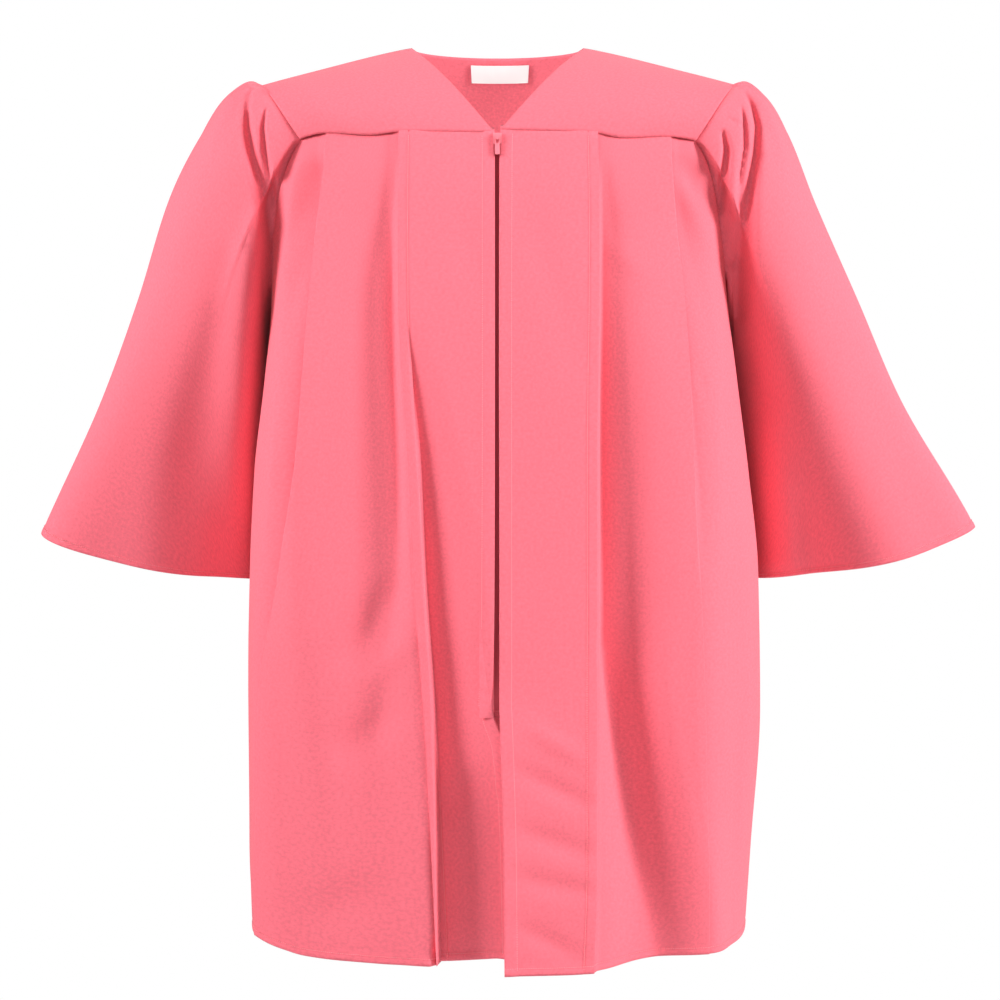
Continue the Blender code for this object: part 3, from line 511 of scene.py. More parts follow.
class GownSettings(bpy.types.PropertyGroup):
    """Sizes and colours of the gown's cloth and thread."""

    cloth_gauge: FloatProperty(
        name="Cloth gauge", description="Thickness of one layer of cloth", default=0.0005, unit="LENGTH"
    )
    layer_gap: FloatProperty(
        name="Layer gap", description="Distance between the layers of a pleat", default=0.0009, unit="LENGTH"
    )
    placket_width: FloatProperty(
        name="Placket width", description="Opening's edge to its stitching", default=0.0098, unit="LENGTH"
    )
    hem_height: FloatProperty(
        name="Hem height", description="Lower edge to the hem's stitching", default=0.0055, unit="LENGTH"
    )
    stitch_pitch: FloatProperty(
        name="Stitch pitch", description="Distance from stitch to stitch", default=0.0018, unit="LENGTH"
    )
    thread_width: FloatProperty(
        name="Thread width", description="Width of the sewing thread", default=0.00042, unit="LENGTH"
    )
    cloth_colour: FloatVectorProperty(
        name="Cloth colour", description="Colour of the cloth", default=(0.90, 0.165, 0.215), subtype="COLOR"
    )
    thread_colour: FloatVectorProperty(
        name="Thread colour", description="Colour of the thread", default=(0.93, 0.30, 0.34), subtype="COLOR"
    )
    zip_colour: FloatVectorProperty(
        name="Zip colour", description="Colour of the coil", default=(0.55, 0.045, 0.07), subtype="COLOR"
    )


def settings():
    """The sizes and colours set in the panel."""
    return bpy.context.scene.gown_settings


def node_shader(name, colour, roughness, **values):
    """A new material with its shader."""
    stuff = bpy.data.materials.new(name)
    stuff.use_nodes = True
    shader = stuff.node_tree.nodes["Principled BSDF"]
    shader.inputs["Base Color"].default_value = (*colour, 1)
    shader.inputs["Roughness"].default_value = roughness
    for key, value in values.items():
        shader.inputs[key.replace("_", " ")].default_value = value
    return stuff, shader


def new_node(tree, kind, **values):
    """A shader node with its settings and input values."""
    node = tree.nodes.new(kind)
    for key, value in values.items():
        if hasattr(node, key):
            setattr(node, key, value)
        else:
            node.inputs[key.replace("_", " ")].default_value = value
    return node


def patterned(tree, kind, coordinate, **values):
    """A pattern on the piece's own coordinates."""
    node = new_node(tree, kind, **values)
    place = new_node(tree, "ShaderNodeTexCoord")
    tree.links.new(place.outputs[coordinate], node.inputs["Vector"])
    return node


def emboss(tree, shader, height, strength, distance):
    """The surface rises and falls with a pattern."""
    bump = new_node(tree, "ShaderNodeBump", Strength=strength, Distance=distance)
    tree.links.new(height, bump.inputs["Height"])
    tree.links.new(bump.outputs["Normal"], shader.inputs["Normal"])


def woven_cloth(name, colour, coordinate="UV"):
    """Matte plain weave: two sets of yarns, slubs along them and a slight unevenness of the dye."""
    stuff, shader = node_shader(
        name, colour, 0.82, Specular_IOR_Level=0.22, Sheen_Weight=0.10, Sheen_Roughness=0.45
    )
    tree = stuff.node_tree
    link = tree.links.new
    dye, slubs = (
        patterned(tree, "ShaderNodeTexNoise", coordinate, Scale=scale, Detail=2.0, Roughness=0.6)
        for scale in (YARN_SCALE, SLUB_SCALE)
    )
    weave = new_node(tree, "ShaderNodeMath", operation="MAXIMUM")
    for i, direction in enumerate("XY"):
        yarns = patterned(
            tree, "ShaderNodeTexWave", coordinate, wave_type="BANDS", bands_direction=direction,
            Scale=YARN_SCALE, Distortion=1.2, Detail=1.0, Detail_Scale=3.0,
        )
        link(yarns.outputs["Fac"], weave.inputs[i])
    mottle = new_node(tree, "ShaderNodeMapRange")
    mottle.inputs["From Min"].default_value = 0.3
    mottle.inputs["From Max"].default_value = 0.7
    link(dye.outputs["Fac"], mottle.inputs["Value"])
    tint = new_node(tree, "ShaderNodeMix", data_type="RGBA", blend_type="MIX")
    tint.inputs[6].default_value = (*[c * 0.90 for c in colour], 1)
    tint.inputs[7].default_value = (*[min(c * 1.08, 1) for c in colour], 1)
    link(mottle.outputs["Result"], tint.inputs[0])
    link(tint.outputs[2], shader.inputs["Base Color"])
    height = new_node(tree, "ShaderNodeMath", operation="MULTIPLY_ADD")
    height.inputs[1].default_value = 0.6
    link(weave.outputs["Value"], height.inputs[0])
    link(slubs.outputs["Fac"], height.inputs[2])
    emboss(tree, shader, height.outputs["Value"], 0.35, 0.0003)
    return stuff


def grid_piece(name, rows, stuff, gauge, ring=False):
    """A fine sheet of cloth through rows of points, with a UV map in metres along the cloth."""
    rows = np.array(rows)
    if ring:
        rows = np.concatenate([rows, rows[:, :1]], axis=1)
    down, across = rows.shape[:2]
    bm = bmesh.new()
    bmesh.ops.create_grid(bm, x_segments=across - 1, y_segments=down - 1, size=1)
    bm.verts.ensure_lookup_table()
    for vert, point in zip(bm.verts, rows.reshape(-1, 3)):
        vert.co = point
    run = np.linalg.norm(np.diff(rows, axis=1), axis=2)
    drop = np.linalg.norm(np.diff(rows, axis=0), axis=2)
    u = np.concatenate([np.zeros((down, 1)), np.cumsum(run, axis=1)], axis=1)
    v = np.concatenate([np.zeros((1, across)), np.cumsum(drop, axis=0)], axis=0)
    cloth_map = np.stack([u.mean(axis=0)[None, :].repeat(down, axis=0), v], axis=2).reshape(-1, 2)
    layer = bm.loops.layers.uv.new("Cloth")
    for face in bm.faces:
        for loop in face.loops:
            loop[layer].uv = cloth_map[loop.vert.index]
    if ring:
        bmesh.ops.remove_doubles(bm, verts=bm.verts, dist=1e-6)
    piece = finished(name, bm, stuff)
    wall = piece.modifiers.new("Cloth gauge", "SOLIDIFY")
    wall.thickness = gauge
    wall.offset = 0
    return piece


def finished(name, bm, stuff):
    """A smooth-shaded object in the scene from a finished mesh."""
    mesh = bpy.data.meshes.new(name)
    bm.to_mesh(mesh)
    bm.free()
    mesh.materials.append(stuff)
    mesh.shade_smooth()
    piece = bpy.data.objects.new(name, mesh)
    bpy.context.scene.collection.objects.link(piece)
    return piece


def section_power(facing, z):
    """How square the plan section is at a height."""
    return BODY.at("front_power", z) if facing == "front" else BACK_POWER


def section_reach(facing, z):
    """The plan section's reach from the side seams to the front or the back at a height."""
    return BODY.at(facing, z) + (SIDE_Y if facing == "front" else -SIDE_Y)


@lru_cache(maxsize=4096)
def section(facing, side, z):
    """The body's plan section at a height: turns, lengths along it and distances from the centre."""
    power = float(section_power(facing, z))
    turn = np.linspace(0, 1, SECTION_POINTS) ** SECTION_CROWDING * np.pi / 2
    x = float(BODY.at(side, z)) * np.sin(turn) ** (2 / power)
    y = float(section_reach(facing, z)) * np.abs(np.cos(turn)) ** (2 / power)
    return turn, run_length(np.stack([x, y], axis=1)), x, y


def run_length(points):
    """Lengths along a line of points, from its start to each of them."""
    return np.concatenate([[0], np.cumsum(np.linalg.norm(np.diff(points, axis=0), axis=1))])


def line_point(at, length, points):
    """Points of a line at these lengths along it."""
    return np.stack([np.interp(at, length, points[:, k]) for k in range(points.shape[1])], axis=-1)


def unit(vectors):
    """Vectors of length one."""
    return vectors / np.linalg.norm(vectors, axis=-1, keepdims=True)


def plan_point(facing, side, turn, z, offset):
    """Points of the plan section at a turn from the centre line, this far outside it."""
    half, reach, power = BODY.at(side, z), section_reach(facing, z), section_power(facing, z)
    sin, cos = np.sin(turn), np.abs(np.cos(turn))
    normal_x, normal_y = sin ** (2 - 2 / power) / half, cos ** (2 - 2 / power) / reach
    offset = offset / np.hypot(normal_x, normal_y)
    x = SIDES[side] * (half * sin ** (2 / power) + normal_x * offset)
    y = reach * cos ** (2 / power) + normal_y * offset
    out = -1 if facing == "front" else 1
    return np.stack(np.broadcast_arrays(x, SIDE_Y + out * y, z), axis=-1)


def length_at_x(facing, side, z, x):
    """Length along the section at a distance from the gown's middle."""
    _, length, xs, _ = section(facing, side, round(float(z), 5))
    return np.interp(np.abs(x), xs, length) * np.sign(x)


def panel_end(facing, side, z):
    """Length along the section of the panel's outer edge: the armhole, and the side seam below it."""
    _, length, _, ys = section(facing, side, round(float(z), 5))
    depth = SIDE_Y if z <= UNDERARM_Z else float(ARMHOLE.at(facing, z))
    reach = max(SIDE_Y - depth, 0) if facing == "front" else max(depth - SIDE_Y, 0)
    return float(np.interp(reach, ys[::-1], length[::-1]))


def folds_at(facing, side, z):
    """Lengths along the section of both pleats' folds."""
    folds, name = (FRONT_FOLDS, side) if facing == "front" else (BACK_FOLDS, "fold")
    return [float(length_at_x(facing, side, z, float(folds.at(f"{name}_{i}", z)))) for i in (1, 2)]


def pleat_line(fold, depth, gap):
    """A pleat's mid line as lengths and layers: out to the fold, back under it and out again."""
    half = gap / 2
    near, far = fold - depth + half, fold - half
    turn = np.radians(np.linspace(90, -90, TURN_POINTS + 2)[1:-1])
    upper = np.linspace(near, far, FOLD_COLUMNS_UPPER)
    under = np.linspace(near, far, FOLD_COLUMNS_UNDER)
    lengths = [upper, far + half * np.cos(turn), under[::-1], near - half * np.cos(turn), under]
    layers = [
        np.full(len(upper), 2.0),
        1.5 + np.sin(turn) / 2,
        np.full(len(under), 1.0),
        0.5 + np.sin(turn) / 2,
        np.zeros(len(under)),
    ]
    return np.concatenate(lengths), np.concatenate(layers)


def panel_profile(facing, side, z, gap):
    """Lengths and layers of cloth across one half panel, from the centre to its outer edge."""
    first, second = folds_at(facing, side, z)
    depth = float(PLEAT.at("depth", z))
    start = length_at_x(facing, side, z, edge_at(side, z)) if facing == "front" else 0.0
    end = panel_end(facing, side, z)
    one, one_layers = pleat_line(first, depth, gap)
    two, two_layers = pleat_line(second, depth, gap)
    placket = start + np.linspace(0, PLACKET_REACH, PLACKET_COLUMNS)
    centre = np.linspace(placket[-1], one[0], CENTRE_COLUMNS + 2)[1:-1]
    between = np.linspace(one[-1], two[0], BETWEEN_COLUMNS + 2)[1:-1]
    outer = np.linspace(two[-1], end, SIDE_COLUMNS + 1)[1:]
    lengths = np.concatenate([placket, centre, one, between, two, outer])
    layers = np.concatenate(
        [
            np.full(len(placket) + len(centre), float(TOP_LAYER)),
            2 + one_layers,
            np.full(len(between), 2.0),
            two_layers,
            np.zeros(len(outer)),
        ]
    )
    return lengths, layers


def edge_at(side, z):
    """Where the opening's edge lies: the right front passes under the left one low down."""
    return float(OPENING.at(side, z)) * SIDES[side]


CREASE_LINES = {
    panel: [Table(CREASE_COLUMNS, rows, ratios=["steep", "soft"]) for rows in creases]
    for panel, creases in CREASES.items()
}


def beside_line(x, z, start, end, run_out=0.0):
    """How far along a straight line places lie, held near its ends, and how far beside it."""
    run = end - start
    share = ((x - start[0]) * run[0] + (z - start[1]) * run[1]) / np.dot(run, run)
    share = np.clip(share, -run_out, 1 + run_out)
    return share, np.hypot(x - start[0] - share * run[0], z - start[1] - share * run[1])


def crease_lift(facing, side, x, z):
    """How far the creases and wrinkles move the cloth out or in at these places of a panel."""
    moved = np.zeros(np.shape(x))
    for line in CREASE_LINES[facing, side]:
        away = x - line.at("x", z)
        share = np.abs(away) / np.where(away > 0, line.at("outer", z), line.at("inner", z))
        soft = line.at("soft", z)
        back = np.clip(1 - share, 0, 1)
        moved += line.at("depth", z) * ((1 - soft) * back ** line.at("steep", z) + soft * smooth(back))
    for start, end, width, depth in WRINKLES[facing, side]:
        share, beside = beside_line(x, z, np.array(start) * MM, np.array(end) * MM, WRINKLE_RUN_OUT)
        swell = np.sin(np.pi * (share + WRINKLE_RUN_OUT) / (1 + 2 * WRINKLE_RUN_OUT))
        moved += depth * MM * swell * np.exp(-((beside / (width * MM)) ** 2))
    return moved


def panel_points(facing, side, z, lengths, layers, gap, lift):
    """Points of a panel at one level: how far along its section, and how many layers up."""
    turns, plan_length, xs, _ = section(facing, side, round(float(z), 5))
    along = np.abs(lengths)
    beyond = np.where(np.asarray(lengths) < 0, -1, 1)
    x = np.interp(along, plan_length, xs) * beyond
    pitch = PLEAT_PITCH * float(PLEAT.at("spread", z))
    run = float(PLEAT.at("run", z))
    folds = folds_at(facing, side, z)
    offset = layers * gap + lift
    for fold in folds:
        offset = offset + (2 * pitch - 2 * gap) * (1 - smooth((lengths - fold) / run))
    top = FRONT_TOP if facing == "front" else BACK_TOP
    share = np.clip(np.abs(x) / float(BODY.at(side, z)), 0, 1)
    low = float(np.clip((z - HEM_CURVE_TOP) / (HEM_LEVEL - HEM_CURVE_TOP), 0, 1))
    if facing == "front":
        high = float(np.clip((z - UNDERARM_Z) / (top - UNDERARM_Z), 0, 1))
        seam = FRONT_SEAM.at(side, np.abs(x))
        hem = HEM.at(side, share)
    else:
        high, seam = 0.0, top
        hem = HEM.at("back", share) + (HEM.at(side, 1) - HEM.at("back", 1)) * share**6
    height = z + (seam - top) * high + (hem - HEM_LEVEL) * low
    offset = offset + crease_lift(facing, side, x, height) * np.clip((top - z) / RELIEF_FADE, 0, 1)
    if (facing, side) == ("front", "left"):
        offset += OPENING.at("lift", z) * np.clip(1 - (lengths - lengths.min()) / folds[0], 0, 1)
    points = plan_point(facing, side, np.interp(along, plan_length, turns), height, offset)
    points[:, 0] *= beyond
    return points


def panel_levels(top, bottom, hem_height):
    """Levels of a panel's rows: even steps, with a few more at the hem."""
    count = int(round((top - bottom - hem_height) / ROW_STEP))
    body = np.linspace(top, bottom + hem_height, count)
    return [*body, *(bottom + hem_height * EDGE_ROWS)]


def turned_lift(up):
    """How far a turned edge stands out at this share of its height."""
    if up > TURNED_TOP:
        return 0.0
    fullness = TURNED_FULLNESS * np.sin(np.pi * np.clip(up, TURNED_START, 1))
    return float(fullness - TURNED_DIP * np.exp(-(((up - 1) / TURNED_DIP_WIDTH) ** 2)))


def front_lift(side, z, lengths, layers, placket):
    """The opening's edge stands proud with a dip along its stitching, as the first pleat has too."""
    away = lengths - lengths.min() - placket
    proud = PLACKET_PROUD * (1 - smooth(away / PLACKET_STEP))
    dip = PLACKET_DIP * np.exp(-((away / PLACKET_DIP_WIDTH) ** 2))
    away = folds_at("front", side, z)[0] - RIDGE_INSET - lengths
    ridge = np.where(np.isclose(layers, TOP_LAYER), RIDGE_DIP * np.exp(-((away / RIDGE_DIP_WIDTH) ** 2)), 0)
    return proud - dip - ridge


def panel_row(facing, side, z, gown):
    """One row of a panel's cloth, from the centre to its outer edge."""
    lengths, layers = panel_profile(facing, side, z, gown.layer_gap)
    lift = turned_lift((z - HEM_LEVEL) / gown.hem_height)
    if facing == "front":
        lift = lift + front_lift(side, z, lengths, layers, gown.placket_width)
    return panel_points(facing, side, z, lengths, layers, gown.layer_gap, lift)


def shoulder_point(side, share):
    """Points of the shoulder line, from the neck to the tip of the shoulder."""
    tip_x, tip_z = SLEEVE.at(f"{side}_x", 0), SLEEVE.at(f"{side}_z", 0)
    share = np.asarray(share, float)
    x = NECK_HALF + (tip_x - NECK_HALF) * share
    return np.stack([SIDES[side] * x, SHOULDER_TIP_Y * share, tip_z * share**SHOULDER_BEND], axis=-1)


def seam_offset(x):
    """How far outside the section a yoke's lower edge lies: it covers the pleats' layers."""
    return SEAM_PROUD + TOP_LAYER * PLEAT_PITCH * (1 - (x / YOKE_REACH) ** 2)


def bare_point(facing, side, z, lengths, offset):
    """Points of the bare section, this far outside it."""
    turns, plan_length, _, _ = section(facing, side, round(float(z), 5))
    return plan_point(facing, side, np.interp(lengths, plan_length, turns), z, offset)


def front_seam_point(side, share):
    """The front yoke's lower edge, from the opening to the armhole."""
    start = length_at_x("front", side, FRONT_TOP, abs(edge_at(side, FRONT_TOP)))
    lengths = start + (panel_end("front", side, FRONT_TOP) - start) * np.asarray(share, float)
    x = np.abs(bare_point("front", side, FRONT_TOP, lengths, 0)[..., 0])
    points = bare_point("front", side, FRONT_TOP, lengths, seam_offset(x))
    points[..., 2] = FRONT_SEAM.at(side, x) - SEAM_OVERLAP
    return points


def rolled(top, bottom, down, roundness):
    """Points between a top edge and a bottom edge, over a round or a flatter shoulder."""
    round_z = 1 - np.cos(np.pi * down / 2)
    z_share = down + (round_z - down) * roundness
    y_share = down + (np.sin(np.pi * down / 2) - down) * (FLAT_ROLL + (1 - FLAT_ROLL) * roundness)
    x_share = down ** (1 + SIDE_ROLL * roundness)
    shares = np.stack(np.broadcast_arrays(x_share, y_share, z_share), axis=-1)
    return top + (bottom - top) * shares


def front_yoke_point(side, across, down):
    """Points of a front yoke, from the shoulder seam down to its lower edge."""
    top = shoulder_point(side, across)
    top[..., 1] -= SHOULDER_GAP / 2
    roundness = FRONT_ROUNDNESS + (1 - FRONT_ROUNDNESS) * np.asarray(across)
    return rolled(top, front_seam_point(side, across), down, roundness)


def back_yoke_edge(side, across):
    """The back yoke's upper edge, round half of the neckline and along the shoulder."""
    neck = NECK_HALF / float(SLEEVE.at(f"{side}_x", 0))
    shoulder = shoulder_point(side, np.clip((across - neck) / (1 - neck), 0, 1))
    part = np.clip(across / neck, 0, 1)
    depth = NECK_BACK * np.sqrt(1 - part * part)
    neckline = np.stack([SIDES[side] * NECK_HALF * part, depth, 0 * part], axis=-1)
    edge = np.where((across < neck)[..., None], neckline, shoulder)
    edge[..., 1] += SHOULDER_GAP / 2
    return edge


def back_yoke_half(side, across, down):
    """Points of one half of the back yoke, with the neck's corner rounded out below the edge."""
    across = np.asarray(across, float)
    reach = CORNER_SPREAD * 4 * across * (1 - across) * np.sin(np.pi * down / 2)
    top = np.mean([back_yoke_edge(side, across + reach * step) for step in CORNER_STEPS], axis=0)
    lengths = panel_end("back", side, BACK_TOP) * across
    x = np.abs(bare_point("back", side, BACK_TOP, lengths, 0)[..., 0])
    bottom = bare_point("back", side, BACK_TOP, lengths, seam_offset(x))
    shoulder = smooth((across - BACK_ROUND_START) / BACK_ROUND_RUN)
    roundness = BACK_ROUNDNESS + (1 - BACK_ROUNDNESS) * shoulder
    return rolled(top, bottom, down, roundness)


def back_yoke_point(across, down):
    """Points of the back yoke: across runs from -1 on the wearer's right to 1 on the left."""
    across = np.asarray(across, float)
    right = back_yoke_half("right", np.abs(across), down)
    left = back_yoke_half("left", np.abs(across), down)
    return np.where((across < 0)[..., None], right, left)


def armhole_loop(side):
    """The armhole's seam line from the tip of the shoulder down the front and up the back."""
    on_yoke, on_front, on_back = ARMHOLE_LINE_POINTS
    down = np.linspace(0, 1, on_yoke)
    line = [front_yoke_point(side, 1.0, d) for d in down]
    seam = float(FRONT_SEAM.rows[-1, FRONT_SEAM.columns.index(side)])
    for facing, levels in (
        ("front", np.linspace(seam, UNDERARM_Z, on_front)),
        ("back", np.linspace(UNDERARM_Z, BACK_TOP, on_back)),
    ):
        line += [bare_point(facing, side, z, panel_end(facing, side, z), 0) for z in levels[1:]]
    line += [back_yoke_point(SIDES[side] * 1.0, d) for d in down[::-1]]
    return np.array(line, float), on_yoke - 1, len(line) - on_yoke


def armhole_points(side, angles):
    """The armhole's seam line, sampled at the sleeve's points."""
    line, front_notch, back_notch = armhole_loop(side)
    length = run_length(line)
    cap = np.radians(CAP_ANGLE / 2)
    knots = [0, cap, np.pi, 2 * np.pi - cap, 2 * np.pi]
    lengths = length[[0, front_notch, int(np.argmin(line[:, 2])), back_notch, -1]]
    return line_point(np.interp(angles % (2 * np.pi), knots, lengths), length, line)


def sleeve_oval(side, along, angles):
    """The sleeve's section at a distance along it: an oval from its outer edge to the underarm."""
    outer_x, outer_z = SIDES[side] * SLEEVE.at(f"{side}_x", along), SLEEVE.at(f"{side}_z", along)
    outer = np.array((outer_x, SHOULDER_TIP_Y, outer_z))
    y, z = float(UNDERARM.at("y", along)), float(UNDERARM.at("z", along))
    _, length, _, ys = section("back", side, round(z, 5))
    at = np.interp(max(y, SIDE_Y) - SIDE_Y, ys[::-1], length[::-1])
    wall = bare_point("back", side, round(z, 5), at, 0)
    clear = UNDERARM_CLEAR * min(along / CLEAR_RUN, 1)
    inner = np.array((wall[0] + SIDES[side] * clear, y, z))
    centre, half = (outer + inner) / 2, (outer - inner) / 2
    points = centre + np.cos(angles)[:, None] * half
    inward = np.where(np.sin(angles) > 0, (1 - np.cos(angles)) / 2, 0)
    power = OUTER_POINT_POWER + (UNDERARM_POINT_POWER[side] - OUTER_POINT_POWER) * inward
    swell = np.abs(np.sin(angles)) ** power
    reach = np.where(np.sin(angles) > 0, -SLEEVE.at("front", along), SLEEVE.at("back", along))
    points[:, 1] += reach * swell
    sag = np.abs(np.sin(angles)) ** CUFF_SAG_POWER * (1 + CUFF_SAG_OUTWARD * np.cos(angles))
    points[:, 2] -= SLEEVE.at("sag", along) * sag
    return points, centre


def cap_fold_lift(side, along, degrees):
    """Height of the gathered cap's folds and creases at these angles."""
    moved = np.zeros(len(degrees))
    for start, end, wide, high, reach in CAP_FOLDS[side]:
        share = min(along / reach, 1.0)
        middle = start + (end - start) * share
        width = wide * (1 + CAP_FOLD_WIDENING * share)
        rise = np.sin(np.pi * (CAP_FOLD_START + (1 - CAP_FOLD_START) * share)) if share < 1 else 0
        moved += high * MM * rise * np.exp(-(((degrees - middle) / width) ** 2))
    return moved


def traced_lift(lines, x, z):
    """How far folds traced as lines move the cloth at these distances and heights."""
    moved = np.zeros(len(x))
    for traced in lines:
        line = np.array(traced) * MM
        nearest = np.full(len(x), np.inf)
        lift = np.zeros(len(x))
        for start, end in zip(line[:-1], line[1:]):
            share, beside = beside_line(x, z, start[:2], end[:2])
            beside = beside / (start[2] + (end[2] - start[2]) * share)
            lift = np.where(beside < nearest, start[3] + (end[3] - start[3]) * share, lift)
            nearest = np.minimum(nearest, beside)
        moved += lift * np.exp(-(nearest**2))
    return moved


def sleeve_ring(side, along, angles, armhole, cuff_lift):
    """One ring of the sleeve: armhole shape that eases into the oval, with gathers and flutes."""
    points, centre = sleeve_oval(side, along, angles)
    start, _ = sleeve_oval(side, 0, angles)
    ease = smooth(along / ARMHOLE_EASE)
    points = points + (1 - ease) * (armhole - start)
    wrapped = (angles + np.pi) % (2 * np.pi) - np.pi
    flutes = np.sin(FLUTES * wrapped + SIDES[side]) * FLUTE_HEIGHT * along**2
    inside = np.clip(1 - (np.abs(wrapped) - FLUTE_END) / FLUTE_FADE, 0, 1)
    folds = cap_fold_lift(side, along, np.degrees(wrapped))
    forward = traced_lift(SLEEVE_FOLDS[side], np.abs(points[:, 0]), points[:, 2])
    points += unit(points - centre) * (folds + flutes * inside + cuff_lift)[:, None]
    gap = (ARMHOLE_GAP + UNDERARM_GAP * (1 - np.cos(angles)) / 2) * (1 - ease)
    points[:, 0] += SIDES[side] * gap
    points[:, 1] -= forward * smooth(np.sin(angles) / FOLD_FRONT)
    return points


def sleeve_levels(hem_share):
    """How far down the sleeve its rings lie, with a few more at the cuff."""
    inner = np.linspace(0, 1, SLEEVE_DOWN) ** SLEEVE_CROWDING * (1 - hem_share)
    return [*inner, *(1 - hem_share * EDGE_ROWS)]


def sleeve_rows(side, gown):
    """The sleeve's rings from the turned-in edge at the armhole to the cuff."""
    angles = np.linspace(0, 2 * np.pi, SLEEVE_ROUND, endpoint=False)
    armhole = armhole_points(side, angles)
    hem_share = gown.hem_height / CUFF_RUN
    rows = [
        sleeve_ring(side, along, angles, armhole, turned_lift((1 - along) / hem_share))
        for along in sleeve_levels(hem_share)
    ]
    tuck = rows[0] + unit(rows[0].mean(axis=0) - rows[0]) * SLEEVE_TUCK_IN
    tuck[:, 0] -= SIDES[side] * SLEEVE_TUCK_UNDER
    return [tuck, *rows]


def hem_line(facing, side, gown):
    """Points and outward directions along a hem's stitching, over each pleat's top layer."""
    z = HEM_LEVEL + gown.hem_height
    lengths, layers = panel_profile(facing, side, z, gown.layer_gap)
    first, second = folds_at(facing, side, z)
    top = np.where(lengths < first, TOP_LAYER, np.where(lengths < second, TOP_LAYER / 2, 0))
    seen = np.isclose(layers, top)
    lengths, layers = lengths[seen], layers[seen]
    points = panel_points(facing, side, z, lengths, layers, gown.layer_gap, gown.cloth_gauge / 2)
    along = np.gradient(points, axis=0)
    outs = np.stack([along[:, 1], -along[:, 0], 0 * along[:, 0]], axis=1)
    return points, outs * SIDES[side] * (1 if facing == "front" else -1)


def cuff_line(side, gown):
    """Points and outward directions round a cuff's stitching."""
    angles = np.linspace(0, 2 * np.pi, SLEEVE_ROUND + 1)
    along = 1 - gown.hem_height / CUFF_RUN
    ring = sleeve_ring(side, along, angles, armhole_points(side, angles), gown.cloth_gauge / 2)
    return ring, ring - ring[:-1].mean(axis=0)


def stitch_row(bm, points, outs, pitch, width):
    """Stitches laid end to end along a line of points, each a small rounded bead of thread."""
    points, outs = np.array(points), np.array(outs)
    length = run_length(points)
    for middle in (np.arange(int(length[-1] / pitch)) + 0.5) * pitch:
        start, end = (line_point(middle + step * pitch * STITCH_REACH, length, points) for step in (-1, 1))
        run = Vector(end - start)
        side = Vector(line_point(middle, length, outs)).cross(run).normalized()
        up = run.normalized().cross(side)
        bead = Matrix((run * STITCH_LENGTH, side * width, up * width * STITCH_FLATNESS)).transposed()
        place = Matrix.Translation(Vector((start + end) / 2) + up * width * STITCH_RAISE)
        bmesh.ops.create_icosphere(bm, subdivisions=1, radius=STITCH_RADIUS, matrix=place @ bead.to_4x4())


class GownPiece:
    """What the gown's operators share."""

    bl_options = {"REGISTER", "UNDO"}

    def seat(self, piece, slot, *nodes):
        """A finished piece rides on the gown and stands for its solids."""
        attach(piece, "gown")
        if nodes:
            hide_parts(*nodes)
        return piece

    def cloth(self, node, rows, ring=False):
        """The cloth that stands for one solid."""
        piece = grid_piece(f"{node}_cloth", rows, cloth_stuff(), settings().cloth_gauge, ring)
        return self.seat(piece, "gown_cloth", node)


def cloth_stuff():
    """The gown's one woven material, made on first use."""
    found = bpy.data.materials.get("gown_weave")
    return found or woven_cloth("gown_weave", settings().cloth_colour)


class GOWN_OT_fronts(GownPiece, bpy.types.Operator):
    """Make the two fronts with their plackets, pleats and hems"""

    bl_idname = "gown.make_fronts"
    bl_label = "Fronts"

    def execute(self, context):
        gown = settings()
        for side in SIDES:
            levels = panel_levels(FRONT_TOP, HEM_LEVEL, gown.hem_height)
            rows = [panel_row("front", side, z, gown) for z in levels]
            tuck = rows[0] + np.array((0, SEAM_TUCK_IN, SEAM_TUCK_UP))
            piece = self.cloth(f"front_{side}", [tuck, *rows])
        return {"FINISHED"}


class GOWN_OT_back(GownPiece, bpy.types.Operator):
    """Make the back with its pleats and hem"""

    bl_idname = "gown.make_back"
    bl_label = "Back"

    def execute(self, context):
        gown = settings()
        rows = []
        for z in panel_levels(BACK_TOP, HEM_LEVEL, gown.hem_height):
            right, left = (panel_row("back", side, z, gown) for side in SIDES)
            rows.append(np.concatenate([right[:0:-1], left]))
        tuck = rows[0] + np.array((0, -SEAM_TUCK_IN, SEAM_TUCK_UP))
        piece = self.cloth("back", [tuck, *rows])
        return {"FINISHED"}


class GOWN_OT_yokes(GownPiece, bpy.types.Operator):
    """Make the front yokes and the back yoke"""

    bl_idname = "gown.make_yokes"
    bl_label = "Yokes"

    def execute(self, context):
        across = np.linspace(0, 1, YOKE_ACROSS)
        downs = np.linspace(0, 1, YOKE_DOWN)
        for side in SIDES:
            rows = [front_yoke_point(side, across, down) for down in downs]
            piece = self.cloth(f"yoke_front_{side}", rows)
        spread = np.linspace(-1, 1, 2 * YOKE_ACROSS + 1)
        rows = [back_yoke_point(spread, down) for down in downs]
        piece = self.cloth("yoke_back", rows)
        return {"FINISHED"}


class GOWN_OT_sleeves(GownPiece, bpy.types.Operator):
    """Make the bell sleeves, gathered into the armholes"""

    bl_idname = "gown.make_sleeves"
    bl_label = "Sleeves"

    def execute(self, context):
        gown = settings()
        for side in SIDES:
            piece = self.cloth(f"sleeve_{side}", sleeve_rows(side, gown), ring=True)
        return {"FINISHED"}


